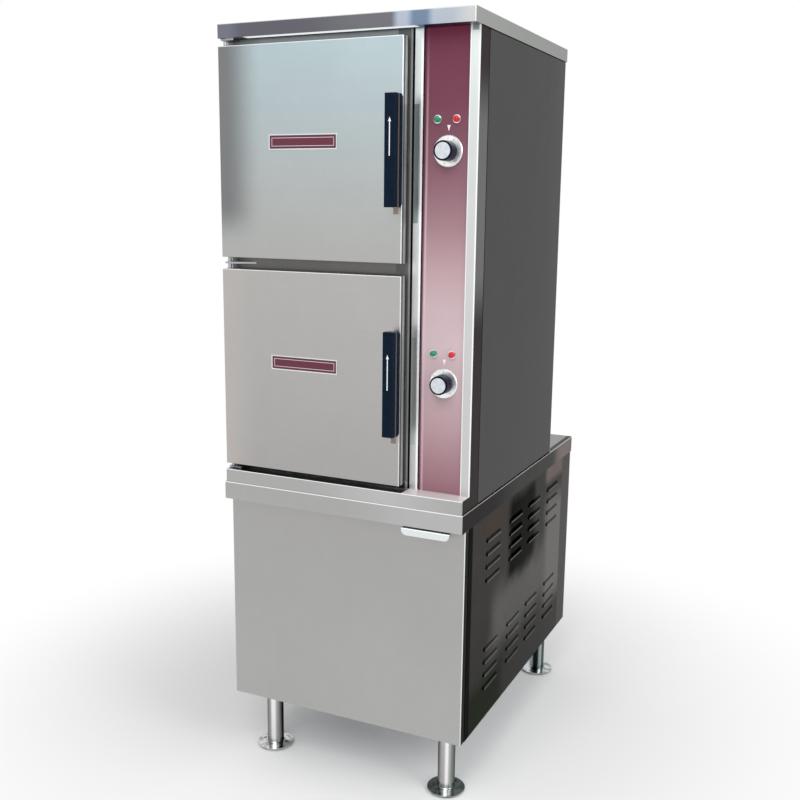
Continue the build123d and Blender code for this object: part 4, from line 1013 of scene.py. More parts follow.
def door_steel(level: Level, shades: Stops, left: Tone) -> Metal:
    """Return a door skin's finish: brushed face, painted highlights on its folds, and painted bands of light
    and shade on its closing side.

    Args:
        level: The door's compartment.
        shades: Tints up the height, a painted reflection.
        left: The painted reflection on the strip at the hinge side.

    Returns:
        The finish.
    """
    top = level.door_low + DOOR_HEIGHT
    side = (DOOR_SIDE, None)
    return Metal(
        tint=shades[1][1], roughness=0.36, cloud=0.045, cloud_size=0.16, run=Run.X, marks=0.05, shades=shades,
        tones=(left,
               # painted highlights on the closing and top folds, and painted light and shade in bands on the
               # closing side
               Tone(PAINTED_HIGHLIGHT, 0.9, x=(0.1462, None), soft=0.001),
               Tone(paint(136, 133, 131), x=side, y=(-0.4170, -0.4090), soft=0.0006),
               Tone(paint(232, 232, 230), x=side, y=(-0.4095, -0.3985), soft=0.002),
               Tone(paint(112, 112, 110), x=side, y=(-0.3990, None), soft=0.0006),
               Tone(PAINTED_HIGHLIGHT, 0.9, y=(None, -0.418), z=(top - 0.0022, None), soft=0.001)))


# The ramps up the doors are painted reflection, bluer towards the top of the upper door, and so are the hinge
# strips: darker on the upper door, paler and browner on the lower.
DOOR_UPPER = door_steel(Level.UPPER, ramp((1.2485, 179, 179, 178), (1.36, 181, 184, 182),
                                          (1.56, 181, 193, 196), (1.7095, 182, 199, 204)),
                        Tone(paint(128, 130, 131), x=(None, -0.19), z=(1.27, None), soft=0.1))
DOOR_LOWER = door_steel(Level.LOWER, ramp((0.761, 173, 171, 170), (0.95, 178, 177, 176),
                                          (1.15, 181, 180, 178), (1.222, 182, 181, 179)),
                        Tone(paint(190, 184, 180), x=(None, -0.2), soft=0.12))
# On the cap's front the dark blue-grey tint and the bands across it are painted reflection, the folds get
# painted highlights, and the strip along the lip's underside is a painted highlight that glows.
CAP = Metal(
    tint=paint(104, 103, 111), roughness=0.3, cloud=0.04, run=Run.X, marks=0.05,
    lit=(Tone(paint(226, 230, 229), x=(-0.245, 0.178), y=(-0.4198, -0.398), z=(None, CAP_LOW + 0.0002),
              soft=(0.01, 0.0004, 0.0001)),),
    tones=(Tone(paint(120, 123, 138), 0.9, x=(None, -0.24), soft=0.04),
           Tone(paint(114, 114, 120), x=(-0.1, None), soft=0.15),
           Tone(paint(176, 187, 202), x=(0.118, None), soft=0.02),
           Tone(paint(118, 136, 160), x=(0.152, 0.216), soft=0.02),
           Tone(paint(176, 184, 194), 0.9, x=(0.208, None), soft=0.02),
           Tone(paint(198, 199, 200), 0.9, x=(0.25, None), soft=0.04),
           Tone(PAINTED_HIGHLIGHT, 0.8, x=(0.302, None), y=(None, -0.415), soft=0.001),
           Tone(paint(184, 186, 188), z=(1.7548, None), soft=0.0006),
           Tone(paint(150, 152, 154), y=(0.2165, None), soft=0.0004),
           Tone(paint(176, 179, 175), x=(BASE_SIDE_X, None), soft=0.0005),
           Tone(paint(206, 210, 212), 0.8, y=(None, -0.4185), z=(1.7540, None), soft=0.001),
           Tone(PAINTED_HIGHLIGHT, x=(-0.29, 0.157), y=(-0.4190, -0.400), z=(None, CAP_LOW + 0.0002), soft=0.0001)))
# On the stiles the ramp up the height is painted reflection, paler at the top; the darker patches beside the
# handles are painted reflection, the black beside the doors and the grey under the cap painted shade, the
# white lines painted highlights, and the dark side return with its paler middle painted reflection.
STILES = Metal(
    tint=paint(206, 213, 211), roughness=0.32, cloud=0.04, run=Run.Z, marks=0.05,
    shades=ramp((LEDGE_TOP, 204, 204, 203), (1.25, 212, 213, 212), (CAP_LOW, 222, 229, 228)),
    matt=(Tone(PAINTED_HIGHLIGHT, 0.6, x=(0.1725, 0.1785), y=(None, -0.384), soft=0.0008),
          Tone(PAINTED_HIGHLIGHT, 0.6, x=(0.2985, None), y=(None, -0.384), soft=0.0008)),
    tones=(Tone(paint(148, 158, 158), x=(0.15, 0.1705), z=(1.332, 1.577), soft=0.0015),
           Tone(paint(186, 191, 192), x=(0.15, 0.1705), z=(0.850, 1.090), soft=0.0015),
           Tone(PAINTED_SHADE, x=(None, 0.1600), y=(-0.3842, None), soft=0.0008),
           Tone(PAINTED_SHADE, x=(None, 0.1592), soft=0.0008),
           Tone(PAINTED_HIGHLIGHT, x=(0.1725, 0.1790), soft=0.0008),
           Tone(PAINTED_HIGHLIGHT, x=(0.2790, 0.2825), soft=0.0012),
           Tone(paint(150, 156, 156), x=(0.284, 0.2985), z=(1.7150, None), soft=0.0015),
           Tone(PAINTED_HIGHLIGHT, x=(0.2985, None), soft=0.0015),
           Tone(paint(64, 57, 58), x=(UPPER_SIDE, None), y=(-0.3838, None), soft=0.0003),
           Tone(paint(128, 127, 128), 0.95, x=(UPPER_SIDE, None), y=(-0.3838, None), z=(1.10, 1.66),
                soft=(0.0003, 0.0003, 0.14)),
           Tone(paint(116, 112, 112), 0.6, x=(UPPER_SIDE, None), y=(-0.340, None), soft=0.003)))
# On the ledge the lighter middle and right and the pale pinkish top are painted reflection, the dark trough
# is painted shade, the dark right side painted dark reflection, and the white front edge a painted highlight.
LEDGE = Metal(
    tint=paint(176, 176, 175), roughness=0.3, cloud=0.05, run=Run.X, marks=0.05,
    matt=(Tone(PAINTED_HIGHLIGHT, 0.8, x=(0.156, UPPER_SIDE), z=(0.7479, None), soft=0.0004),),
    tones=(Tone(paint(194, 193, 193), x=(-0.1, 0.32), soft=0.25),
           Tone(paint(222, 216, 216), x=(0.156, None), z=(0.7479, None), soft=0.0004),
           Tone(paint(22, 21, 20), x=(None, 0.150), y=(-0.4172, -0.3902), z=(None, 0.7478), soft=0.0015),
           Tone(PAINTED_HIGHLIGHT, y=(None, -0.4245), z=(0.7462, None), soft=0.0008),
           Tone(paint(62, 60, 58), x=(UPPER_SIDE, None), y=(-0.4245, None), soft=0.0003)))
# On the deck the lighter right half is painted reflection, the white front and side edges painted highlights,
# and the dark side and the dark top at the right painted dark reflection, paler at the rear corner.
DECK = Metal(
    tint=paint(174, 174, 173), roughness=0.3, cloud=0.05, run=Run.X, marks=0.05,
    tones=(Tone(paint(186, 185, 185), x=(0.0, None), soft=0.2),
           Tone(PAINTED_HIGHLIGHT, y=(None, -0.4265), z=(0.7150, None), soft=0.0008),
           Tone(paint(50, 48, 47), x=(BASE_SIDE_X, None), soft=0.0003),
           Tone(paint(72, 73, 71), x=(BASE_SIDE_X, None), y=(-0.25, None), soft=(0.0003, 0.25, 0.1)),
           Tone(paint(66, 64, 62), 0.9, x=(0.29, None), y=(0.05, None), z=(0.7172, None), soft=0.0005),
           Tone(paint(140, 128, 126), x=(BASE_SIDE_X, None), y=(0.22, None), soft=(0.0003, 0.1, 0.1)),
           Tone(PAINTED_HIGHLIGHT, 0.7, x=(0.3028, None), z=(0.7160, None), soft=0.0005)))
# On the base door the white right fold and the top of the pull lip are painted highlights, the near-white lip
# a painted reflection, and the dark return and the grey under the deck's band painted shade; the ramp is
# slightly darker towards the top.
BASE_DOOR = Metal(
    tint=paint(170, 171, 172), roughness=0.38, cloud=0.04, run=Run.X, marks=0.03,
    shades=ramp((0.166, 179, 179, 177), (0.45, 173, 173, 172), (0.6727, 172, 171, 170)),
    tones=(Tone(PAINTED_HIGHLIGHT, 0.9, x=(0.2996, None), soft=0.0012),
           Tone(paint(46, 46, 46), x=(0.3014, None), y=(-0.4008, None), soft=0.0004),
           Tone(paint(228, 236, 235), y=(None, -0.4035), soft=0.001),
           Tone(paint(120, 120, 119), 0.6, y=(-0.4030, None), z=(0.6690, None), soft=0.003),
           Tone(PAINTED_HIGHLIGHT, y=(None, -0.4035), z=(0.6700, None), soft=0.001)))
# The upper sides' dark grey is painted dark reflection on mirror-bright steel, a little paler towards the
# rear top, and the near-black strip at their front is painted shade.
SIDE = Metal(
    tint=paint(91, 91, 91), roughness=0.14, cloud=0.05, cloud_size=0.12, run=Run.Z, marks=0.15,
    tones=(Tone(paint(97, 97, 97), 0.8, y=(0.05, None), z=(0.8, None), soft=0.2),
           Tone(PAINTED_SHADE, 0.95, y=(None, -0.3295), soft=0.0012)))
# The base sides' dark tint, pale streaks and dark zones are painted reflection on mirror-bright steel, the
# dark front strip is painted shade, and the louvres get painted shade in their openings and painted
# highlights on their lips.
BASE_SIDE = Metal(
    tint=paint(82, 81, 79), roughness=0.1, cloud=0.1, cloud_size=0.2, run=Run.Z, marks=0.04, smudge=0.1,
    rim=0.42,
    tones=(Tone(paint(122, 121, 119), 0.9, y=(-0.26, 0.25), z=(0.27, 0.50), soft=0.09, ragged=0.08),
           Tone(paint(90, 80, 73), 0.8, y=(-0.33, -0.10), z=(0.58, 0.70), soft=0.06, ragged=0.06),
           Tone(paint(146, 144, 142), 0.9, y=(0.16, None), z=(0.24, 0.62), soft=0.08, ragged=0.05),
           Tone(paint(142, 128, 125), 0.9, y=(0.18, None), z=(0.62, None), soft=0.03, ragged=0.03),
           Tone(paint(30, 30, 28), 0.95, y=(-0.13, 0.12), z=(0.43, 0.69), soft=0.05, ragged=0.06),
           Tone(paint(50, 58, 46), 0.8, y=(None, -0.1), z=(None, 0.30), soft=0.06, ragged=0.05),
           Tone(paint(34, 33, 33), 0.8, y=(None, -0.352), soft=0.006),
           Tone(paint(26, 26, 25), 0.66, x=(0.3022, 0.3049), soft=0.0006, ragged=0.0022),
           Tone(paint(150, 148, 146), 0.5, x=(0.3047, None), soft=0.0003)))
# The corner posts' dark tint, darker at the front, is painted dark reflection, with a painted highlight on
# the rear edge.
POST = Metal(
    tint=paint(112, 108, 107), roughness=0.14, cloud=0.1, run=Run.Z, marks=0.05, rim=0.40,
    tones=(Tone(paint(52, 51, 50), y=(None, -0.30), soft=0.02),
           Tone(PAINTED_HIGHLIGHT, 0.5, y=(0.4195, None), soft=0.001)))
# The ramps across the legs are painted reflection, streaks of light and black shade, and the three flange
# tints are painted light for the left, right and rear legs.
TUBE = Tube(tint=paint(170, 170, 170), roughness=0.16, cloud=0.04, run=Run.Z, marks=0.04,
            flanges=(paint(200, 201, 200), paint(164, 172, 170), paint(196, 202, 204)),
            left=ramp((0.0, 150, 150, 150), (0.10, 160, 160, 160), (0.20, 172, 173, 172),
                      (0.27, 244, 245, 245), (0.46, 246, 247, 247), (0.54, 184, 185, 182),
                      (0.72, 150, 150, 148), (0.86, 100, 99, 97), (0.90, 22, 22, 22),
                      (1.0, 16, 16, 16)),
            right=ramp((0.0, 118, 118, 116), (0.12, 176, 174, 173), (0.30, 190, 188, 188),
                       (0.36, 248, 248, 248), (0.48, 246, 247, 247), (0.54, 196, 197, 196),
                       (0.70, 142, 147, 144), (0.86, 112, 120, 117), (1.0, 76, 84, 82)),
            rear=ramp((0.0, 210, 220, 226), (0.10, 160, 172, 172), (0.16, 24, 30, 30),
                      (0.42, 36, 44, 42), (0.50, 150, 158, 154), (0.66, 184, 196, 192),
                      (0.74, 56, 74, 72), (0.88, 110, 128, 126), (1.0, 36, 52, 52)))
LINER = Metal(tint=paint(196, 199, 202), roughness=0.34, cloud=0.06, run=Run.X, marks=0.06)
# On the front frame the grey and black are painted shade in the gaps between, above, beside and below the
# doors, and the pale line by the stile is a painted highlight.
FRONT_FRAME = Metal(
    tint=paint(190, 193, 195), roughness=0.34, cloud=0.05, run=Run.X, marks=0.06,
    matt=(Tone(PAINTED_HIGHLIGHT, 0.7, x=(0.120, 0.1540), z=(0.7640, None), soft=0.0012),
          Tone(PAINTED_HIGHLIGHT, 0.6, x=(None, 0.1525), z=(1.7060, None), soft=0.001)),
    tones=(Tone(paint(108, 107, 105), z=(1.2190, 1.2510), soft=0.001),
           Tone(paint(150, 152, 154), z=(1.7060, None), soft=0.001),
           Tone(paint(104, 104, 103), 0.95, x=(0.120, 0.1500), z=(0.7640, None), soft=0.001),
           Tone(paint(158, 158, 157), 0.95, x=(0.1492, 0.1540), z=(0.7640, None), soft=0.001),
           Tone(PAINTED_SHADE, x=(0.1532, None), z=(LEDGE_TOP, None), soft=0.0008),
           Tone(PAINTED_SHADE, 0.9, x=(None, 0.149), z=(None, 0.7640), soft=0.002)))
PIPE = Metal(tint=paint(190, 188, 184), roughness=0.28, cloud=0.08, run=Run.NONE, marks=0.06)
BOILER = Metal(tint=paint(172, 172, 170), roughness=0.42, cloud=0.12, run=Run.X, marks=0.08)
BRASS = Metal(tint=paint(196, 160, 92), roughness=0.33, cloud=0.12, run=Run.NONE, marks=0.08)
FASTENER = Metal(tint=paint(178, 180, 184), roughness=0.3, cloud=0.08, run=Run.NONE, marks=0.06)
# The ramp up the panel is painted light: a broad painted reflection, palest about a third of the way up, with
# painted shade near the top under the cap; the dark strip at its left edge is painted shade from the stile,
# and the pale band beside it a painted reflection.
PANEL = Coating(
    tint=paint(150, 112, 122), roughness=0.34, cloud=0.03, grain=1200.0, grain_depth=0.00001, dust=0.02,
    shine=0.12,
    shades=ramp((LEDGE_TOP, 148, 108, 118), (0.821, 162, 127, 135), (0.904, 182, 153, 159),
                (1.072, 205, 184, 189), (1.155, 197, 174, 179), (1.239, 184, 154, 161),
                (1.323, 160, 126, 134), (1.406, 142, 104, 115), (1.573, 116, 66, 83),
                (1.695, 106, 54, 72), (1.713, 118, 50, 72), (CAP_LOW, 124, 54, 76)),
    tones=(Tone(paint(214, 194, 199), 0.5, x=(0.1836, 0.1905), z=(None, 1.78), soft=(0.003, 0.003, 0.35)),
           Tone(paint(88, 36, 58), 0.85, x=(None, 0.1838), soft=0.0015)))
HANDLE_BLACK = Coating(
    tint=paint(12, 26, 42), roughness=0.5, cloud=0.34, cloud_size=0.012, grain=1500.0, grain_depth=0.0002,
    dust=0.0, shine=0.05, tones=(Tone(paint(8, 10, 58), 0.8, x=(None, 0.1275), soft=0.002),))
DIALS_AT = tuple((DIAL_X, level.dial_z) for level in Level)
KNOB = Spun(tint=paint(226, 230, 234), roughness=0.26, centres=DIALS_AT, body=paint(14, 16, 40),
            face_radius=0.0165)
DIAL = Spun(tint=paint(246, 249, 249), roughness=0.3, centres=DIALS_AT, pitch=0.0008, marks=0.05,
            tones=(Tone(paint(216, 221, 226), y=(None, -0.41), soft=0.002),))
RUBBER = Coating(tint=paint(96, 94, 92), roughness=0.62, cloud=0.1, grain=900.0, dust=0.12)
GEAR = Coating(tint=paint(58, 58, 60), roughness=0.45, cloud=0.08, grain=1100.0, dust=0.15)
VINYL = Coating(tint=paint(150, 22, 20), roughness=0.32, cloud=0.06, grain=600.0, dust=0.05, coat=0.3)
WHITE_INK = Coating(tint=paint(240, 241, 243), roughness=0.5, cloud=0.03, cloud_size=0.01, dust=0.02)
BLACK_INK = Coating(tint=paint(120, 122, 128), roughness=0.5, cloud=0.1, cloud_size=0.01, dust=0.02)
# The lenses' faint glow is painted light: the lamps are not lit.
GREEN_LENS = Coating(tint=paint(8, 128, 80), roughness=0.2, cloud=0.15, cloud_size=0.006, coat=0.4,
                     dust=0.0, grain=300.0, shine=0.3, glow=0.1)
RED_LENS = Coating(tint=paint(196, 10, 38), roughness=0.2, cloud=0.15, cloud_size=0.006, coat=0.4,
                   dust=0.0, grain=300.0, shine=0.3, glow=0.1)
CHROME = Metal(tint=paint(226, 228, 232), roughness=0.12, cloud=0.08, cloud_size=0.02, run=Run.NONE,
               marks=0.04)
# The darker tint on the core's right face is painted dark reflection; the core is also darker at its two
# tails.
HANDLE_CORE = Metal(
    tint=paint(236, 232, 226), roughness=0.28, cloud=0.06, run=Run.Z, marks=0.06,
    matt=(Tone(PAINTED_HIGHLIGHT, 0.8, x=(0.1495, None), soft=0.0005),),
    tones=(Tone(paint(104, 98, 94), x=(0.1495, None), soft=0.0005),
           Tone(paint(132, 124, 116), z=(1.34, 1.3655), soft=0.001),
           Tone(paint(132, 124, 116), z=(0.85, 0.8780), soft=0.001)))
WOOL = Fleece(tint=paint(196, 176, 128), cloud=0.12, cloud_size=0.1)
WELD = Metal(tint=paint(150, 146, 138), roughness=0.4, cloud=0.35, cloud_size=0.02, run=Run.NONE,
             marks=0.15, marks_depth=0.0002)


def badge_finish(z: float) -> Plate:
    """Return the finish of the badge at the height z: a bare metal rim round two enamel fields.

    Args:
        z: The height of the badge's middle.

    Returns:
        The finish.
    """
    middle, half_width, half_height = -0.090, 0.0828, 0.0143

    def inner(inset: float) -> Tone:
        """Return the region inside the badge's enamel by the inset."""
        across, up = half_width - inset, half_height - inset
        return Tone(WHITE, x=(middle - across, middle + across), z=(z - up, z + up), soft=0.0004)

    return Plate(tint=paint(226, 230, 232), roughness=0.28, cloud=0.12, cloud_size=0.05,
                 enamel_tint=paint(92, 26, 50),
                 enamel=inner(0.0), line_outer=inner(0.005), line_inner=inner(0.006))


# ---------------------------------------------------------------- the cabinet's pieces
@dataclass
class Housing:
    """The fixed sheet metal: cap, sides, deck, base and everything seen from outside."""

    shop: Shop

    def build(self) -> None:
        """Dress the housing's nodes."""
        for nodes, name, finish in (
                ("top_cap", "cap_steel", CAP),
                ("deck", "deck_steel", DECK),
                ("ledge", "ledge_steel", LEDGE),
                ("stiles", "stile_steel", STILES),
                ("upper_side_left upper_side_right", "side_mirror_steel", SIDE),
                ("base_side_left base_side_right", "base_side_steel", BASE_SIDE),
                ("corner_posts", "post_steel", POST),
                ("base_door", "base_door_steel", BASE_DOOR),
                ("feet legs", "leg_steel", TUBE),
                ("front_frame", "frame_steel", FRONT_FRAME),
                ("floor_pan base_rear_panel upper_rear_panel control_tray compartment_upper "
                 "compartment_lower pan_racks", "liner_steel", LINER),
                ("leg_bolts base_door_hinge safety_lever supply_gland door_hinges strikes",
                 "fastener_steel", FASTENER),
                ("control_panel", "panel_enamel", PANEL),
                ("base_door_catch control_gear timers", "gear_plastic", GEAR)):
            self.shop.dress(nodes, name, finish)


@dataclass
class Door:
    """One steam door with its gasket, badge and handle.

    The gasket's profile is a cushion with a groove along its crown: its widths are shares of the way in
    from the outline, and its rises shares of the gasket's depth.
    """

    shop: Shop
    level: Level
    finish: Metal
    gasket_width: float = 0.014
    gasket_corner: float = 0.022
    widths: tuple[float, ...] = (0.0, 0.2, 0.9, 2.6, 4.6, 6.0, 7.0, 8.0, 9.4, 11.4, 13.1, 13.8, 14.0)
    rises: tuple[float, ...] = (0.0, 0.45, 0.8, 1.0, 0.92, 0.7, 0.62, 0.7, 0.92, 1.0, 0.8, 0.45, 0.0)
    badge_rise: float = 0.2535
    handle_x: float = 0.1375
    arrow_low: float = 0.2205
    arrow_high: float = 0.2975
    arrow_head: float = 0.009
    head_half: float = 0.0034
    shaft_half: float = 0.0011
    ink: float = 0.00015
    sunk: float = 0.00002

    def gasket(self) -> None:
        """Make the gasket: point (s, u) is the outline at s moved inwards by the profile's width at u and
        towards the rear by the profile's rise at u."""
        low, high = (np.array(v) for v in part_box(f"door_gasket_{self.level}"))
        middle, half = (low + high) / 2.0, (high - low) / 2.0
        outline, ways = rounded_outline(half[0], half[2], self.gasket_corner, steps=12)
        inwards = np.array(self.widths) / self.widths[-1] * self.gasket_width
        flat = outline - ways * inwards[:, None, None] + middle[[0, 2]]
        depth = low[1] + np.array(self.rises) * (high[1] - low[1])
        rows = np.insert(flat, 1, depth[:, None], axis=2)
        self.shop.piece(f"door_seal_{self.level}", net(rows, True).outward(), RUBBER, f"door_{self.level}",
                        "gasket_rubber", replaces=(f"door_gasket_{self.level}",))

    def arrow(self) -> None:
        """Make the white arrow that points up on the handle."""
        x, low = self.handle_x, self.level.door_low + self.arrow_low
        high = self.level.door_low + self.arrow_high
        neck = high - self.arrow_head
        skin = plate_of([(x - self.shaft_half, low), (x + self.shaft_half, low), (x + self.shaft_half, neck),
                         (x + self.head_half, neck), (x, high), (x - self.head_half, neck),
                         (x - self.shaft_half, neck)], self.ink)
        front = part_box(f"handle_cover_{self.level}")[0][1]
        self.shop.piece(f"handle_arrow_{self.level}", skin.moved(y=front + self.sunk), WHITE_INK,
                        f"handle_{self.level}", "handle_plastic")

    def build(self) -> None:
        """Dress the door and make its soft and printed parts."""
        dress, level = self.shop.dress, self.level
        dress(f"door_skin_{level}", f"door_steel_{level}", self.finish)
        dress(f"door_liner_{level}", "liner_steel", LINER)
        dress(f"badge_{level}", f"badge_plate_{level}", badge_finish(level.door_low + self.badge_rise))
        dress(f"handle_bar_{level}", "handle_metal", HANDLE_CORE)
        dress(f"handle_cover_{level}", "handle_plastic", HANDLE_BLACK)
        self.gasket()
        self.arrow()


@dataclass
class Controls:
    """One compartment's timer knob, dial marks and pointer; `dial_front` and `panel_front` are the planes
    that the marks and the pointer are printed on."""

    shop: Shop
    level: Level
    dial_front: float = -0.38604
    panel_front: float = -0.382
    mark_outer: float = 0.0312
    long_inner: float = 0.0286
    short_inner: float = 0.0297
    long_half: float = 0.00035
    short_half: float = 0.0002
    figure_radius: float = 0.0254
    figure_size: float = 0.0046
    mark_ink: float = 0.0001
    minute: float = 5.5
    minutes: int = 60
    short_every: int = 2
    long_every: int = 10
    pointer_rise: float = 0.0405
    pointer_high: float = 0.0118
    pointer_half: float = 0.0040
    pointer_ink: float = 0.00012
    sunk: float = 0.00002

    def marks(self) -> None:
        """Make the dial's ticks and figures: minute m stands at m * 5.5 degrees, anticlockwise from the
        top, so that the set time comes under the pointer when the knob turns clockwise."""
        parts = []
        for m in range(0, self.minutes + 1, self.short_every):
            long = m % self.long_every == 0
            half = self.long_half if long else self.short_half
            inner = self.long_inner if long else self.short_inner
            tick = plate_of([(-half, inner), (half, inner), (half, self.mark_outer),
                             (-half, self.mark_outer)], self.mark_ink)
            parts.append(tick.turned(-m * self.minute, "Y"))
            if long:
                figure = words(str(m), self.figure_size, self.mark_ink).moved(z=self.figure_radius)
                parts.append(figure.turned(-m * self.minute, "Y"))
        skin = Skin.joined(parts).moved(DIAL_X, self.dial_front, self.level.dial_z)
        self.shop.piece(f"dial_marks_{self.level}", skin, BLACK_INK, f"timer_{self.level}", "dial_metal")

    def pointer(self) -> None:
        """Make the white triangle above the dial."""
        tip = self.level.dial_z + self.pointer_rise
        skin = plate_of([(DIAL_X - self.pointer_half, tip + self.pointer_high),
                         (DIAL_X + self.pointer_half, tip + self.pointer_high), (DIAL_X, tip)],
                        self.pointer_ink)
        self.shop.piece(f"pointer_{self.level}", skin.moved(y=self.panel_front + self.sunk), WHITE_INK,
                        "cabinet", "control_panel_paint")

    def build(self) -> None:
        """Dress the controls and make their marks."""
        self.shop.dress(f"dial_{self.level}", "dial_metal", DIAL)
        self.shop.dress(f"knob_{self.level}", "knob_plastic", KNOB)
        self.marks()
        self.pointer()


@dataclass
class Lamps:
    """The four lamps of the panel."""

    shop: Shop

    def build(self) -> None:
        """Dress the lenses and their bezels."""
        self.shop.dress("green_lenses", "green_lens", GREEN_LENS)
        self.shop.dress("red_lenses", "red_lens", RED_LENS)
        self.shop.dress("lamp_bezels", "bezel_chrome", CHROME)


@dataclass
class Boiler:
    """The boiler and its fittings inside the base."""

    shop: Shop
    gauge: Place = (-0.150, 0.135, 0.614)
    gauge_radius: float = 0.030
    gauge_sweep: float = 270.0
    gauge_steps: int = 10
    needle_at: float = -120.0
    tank: tuple[float, float] = (-0.150, 0.150)
    tank_radius: float = 0.140
    dome_z: float = 0.520
    neck_radius: float = 0.055
    neck_y: float = -0.020
    neck_z: float = 0.320
    flange_y: float = -0.032
    terminal_circle: float = 0.030

    def gauge_face(self) -> None:
        """Make the pressure gauge's dial, rim and needle."""
        x, y, z = self.gauge
        r = self.gauge_radius
        rim = lathe([(r - 0.0034, 0.0), (r - 0.0002, 0.0), (r, 0.0006), (r, 0.0016), (r - 0.0008, 0.0022),
                     (r - 0.0026, 0.0022), (r - 0.0034, 0.0016)], 64)
        face = lathe([(0.0, 0.0), (r - 0.003, 0.0), (r - 0.003, 0.0006), (0.0, 0.0006)], 64)
        hub = lathe([(0.0, 0.0), (0.0026, 0.0), (0.0026, 0.0004), (0.0016, 0.0012), (0.0, 0.0012)], 24)
        needle = plate_of([(-0.0008, -0.007), (0.0008, -0.007), (0.0003, 0.020), (-0.0003, 0.020)], 0.0002)
        parts = [hub, needle.moved(y=-0.0002).turned(self.needle_at, "Y")]
        for k in range(self.gauge_steps + 1):
            inner = 0.0205 if k % 5 == 0 else 0.022
            tick = plate_of([(-0.0003, inner), (0.0003, inner), (0.0003, 0.0245), (-0.0003, 0.0245)], 0.0002)
            parts.append(tick.turned(self.gauge_sweep * (k / self.gauge_steps - 0.5), "Y"))
        marks = Skin.joined(parts).moved(y=-0.0006)
        for name, skin, finish in (("gauge_rim", rim, CHROME), ("gauge_face", face, WHITE_INK),
                                   ("gauge_marks", marks, BLACK_INK)):
            self.shop.piece(name, skin.moved(x, y, z), finish, "cabinet", "fitting_brass")

    def welds(self) -> None:
        """Make the weld beads of the tank's dome and of its neck behind the heater flange."""
        x, y = self.tank
        dome = bead(self.tank_radius + 0.0004, 0.0022, 96, Turn.Z).moved(x, y, self.dome_z)
        neck = bead(self.neck_radius + 0.0006, 0.0024, 48, Turn.Y).moved(x, self.neck_y + 0.0012, self.neck_z)
        self.shop.piece("weld_beads", Skin.joined([dome, neck]), WELD, "cabinet", "boiler_steel")

    def terminals(self) -> None:
        """Make the heater's terminals: six studs, each with an insulating collar and a nut."""
        collar = lathe([(0.0, 0.0), (0.0065, 0.0), (0.0065, 0.0035), (0.0055, 0.0042), (0.0055, 0.0068),
                        (0.0046, 0.0076), (0.0, 0.0076)], 32)
        nut = lathe([(0.0, 0.0070), (0.0044, 0.0070), (0.0048, 0.0074), (0.0048, 0.0102), (0.0044, 0.0106),
                     (0.0021, 0.0106), (0.0021, 0.0150), (0.0015, 0.0156), (0.0, 0.0156)], 6)
        angles = [math.radians(30.0 + 60.0 * k) for k in range(6)]
        places = [(self.tank[0] + self.terminal_circle * math.cos(a), self.flange_y,
                   self.neck_z + self.terminal_circle * math.sin(a)) for a in angles]
        for name, skin, finish in (("terminal_collars", collar, WHITE_INK), ("terminal_studs", nut, BRASS)):
            self.shop.piece(name, Skin.joined([skin.moved(*place) for place in places]), finish, "cabinet",
                            "boiler_steel")

    def build(self) -> None:
        """Dress the boiler's nodes, and make the gauge's face, the weld beads and the terminals."""
        dress = self.shop.dress
        dress("boiler_tank heater_assembly", "boiler_steel", BOILER)
        dress("level_probe steam_valves boiler_trim drain_valve water_line", "fitting_brass", BRASS)
        dress("compartment_pipes drain_pipe", "pipe_steel", PIPE)
        dress("drain_lever", "lever_vinyl", VINYL)
        self.gauge_face()
        self.welds()
        self.terminals()


@dataclass
class Screws:
    """The pan-head screws that hold the rear panels."""

    shop: Shop
    inset: float = 0.010
    spacing: float = 0.19

    def steps(self, start: float, end: float) -> np.ndarray:
        """Return places from start to end at even steps close to the spacing."""
        return np.linspace(start, end, max(2, round((end - start) / self.spacing) + 1))

    def row(self, node: str, top: float) -> Skin:
        """Return the screws round one rear panel, with their heads `inset` metres in from its edges.

        Args:
            node: The panel's node.
            top: The height of the edge that covers the panel's top.

        Returns:
            All the heads as one skin.
        """
        low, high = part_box(node)
        across = self.steps(low[0] + self.inset, high[0] - self.inset)
        up = self.steps(low[2] + self.inset, top - self.inset)
        places = [(x, z) for z in up[[0, -1]] for x in across]
        places += [(x, z) for x in across[[0, -1]] for z in up[1:-1]]
        head = lathe([(0.0, 0.0011), (0.0009, 0.0012), (0.0014, 0.0022), (0.0024, 0.0021), (0.0034, 0.0015),
                      (0.0039, 0.0007), (0.0040, 0.0), (0.0, 0.0)], 24).turned(180.0)
        return Skin.joined([head.moved(x, high[1], z) for x, z in places])

    def build(self) -> None:
        """Make the screws of both rear panels."""
        for node, top in (("upper_rear_panel", CAP_LOW), ("base_rear_panel", DECK_LOW)):
            self.shop.piece(f"screws_{node}", self.row(node, top), FASTENER, "cabinet", "fastener_steel")


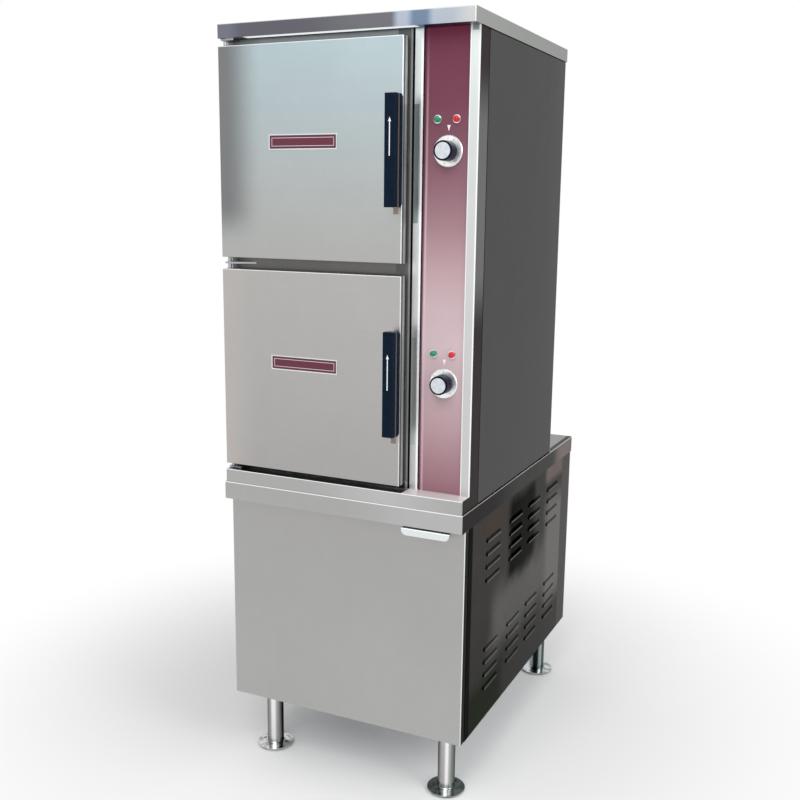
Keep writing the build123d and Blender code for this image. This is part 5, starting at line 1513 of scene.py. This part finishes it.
@dataclass
class Jackets:
    """The mineral wool round the two compartments."""

    shop: Shop
    floors: tuple[float, float] = (0.8115, 1.2990)
    wall: float = 0.024
    rear_wall: float = 0.0115
    below: float = 0.025
    above: float = 0.385
    gap_below: float = 0.0015
    gap_above: float = 0.3615
    outer_corner: float = 0.022
    inner_corner: float = 0.004
    quilts: float = 5.0
    quilt_depth: float = 0.0022
    slack: float = 0.0006

    def sleeve(self, low: np.ndarray, high: np.ndarray, inner_low: np.ndarray,
               inner_high: np.ndarray) -> Skin:
        """Return one jacket: a sleeve open in front, closed by its rear.

        The sleeve is a row of rings, each a rounded rectangle at a depth y: from the middle of the rear's
        inner face outwards, along the inner side to the front, back along the outer side, and over the
        rear's outer face to its middle. The outer side is quilted: at the share d of its depth it sinks by
        quilt_depth * (1 - |sin(quilts * pi * d)|) * (1 + 0.5 sin 7t), with t round the outline.

        Args:
            low: The lowest outer corner.
            high: The highest outer corner.
            inner_low: The lowest inner corner; its y isn't used.
            inner_high: The highest inner corner; its y is the inner face of the rear.

        Returns:
            A closed skin.
        """
        across = [0, 2]
        middle, inner_middle = ((high + low) / 2.0)[across], ((inner_high + inner_low) / 2.0)[across]
        outer = rounded_outline(*((high - low)[across] / 2.0), self.outer_corner, steps=10)[0]
        inner = rounded_outline(*((inner_high - inner_low)[across] / 2.0), self.inner_corner, steps=10)[0]
        inner += inner_middle
        ways = outer / np.linalg.norm(outer, axis=1)[:, None]
        turn = np.linspace(0.0, 2.0 * math.pi, len(outer), endpoint=False)
        depth = np.linspace(0.0, 1.0, 24)
        quilt = 1.0 - np.abs(np.sin(depth * self.quilts * math.pi))
        sink = self.quilt_depth * quilt[:, None] * (1.0 + 0.5 * np.sin(turn * 7.0)) + self.slack
        outside = middle + outer - ways * sink[..., None]
        shares = np.array([0.2, 0.5, 0.8])[:, None, None]
        flat = np.concatenate([middle + (inner - middle) * shares, np.repeat(inner[None], 6, axis=0),
                               outside, middle + (outside[-1] - middle) * shares[::-1]])
        y = np.concatenate([np.full(3, inner_high[1]), np.linspace(inner_high[1], low[1], 6),
                            low[1] + depth * (high[1] - low[1]), np.full(3, high[1])])
        return capped(np.insert(flat, 1, y[:, None], axis=2))

    def build(self) -> None:
        """Make both jackets as one piece that stands for the CAD solid."""
        low, high = (np.array(v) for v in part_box("insulation"))
        parts = [self.sleeve(np.array([low[0], low[1], z - self.below]),
                             np.array([high[0], high[1], z + self.above]),
                             np.array([low[0] + self.wall, 0.0, z - self.gap_below]),
                             np.array([high[0] - self.wall, high[1] - self.rear_wall, z + self.gap_above]))
                 for z in self.floors]
        self.shop.piece("wool_jackets", Skin.joined(parts), WOOL, "cabinet", "wool", sharp=60.0,
                        replaces=("insulation",))


def main() -> None:
    """Build the scene from the frame outwards."""
    logging.basicConfig(level=logging.INFO, format="%(name)s: %(message)s")
    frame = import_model()
    shop = Shop(frame)
    Studio().build()
    Housing(shop).build()
    for level, finish in ((Level.UPPER, DOOR_UPPER), (Level.LOWER, DOOR_LOWER)):
        Door(shop, level, finish).build()
    for level in Level:
        Controls(shop, level).build()
    Lamps(shop).build()
    Boiler(shop).build()
    Screws(shop).build()
    Jackets(shop).build()


if __name__ == "__main__":
    main()
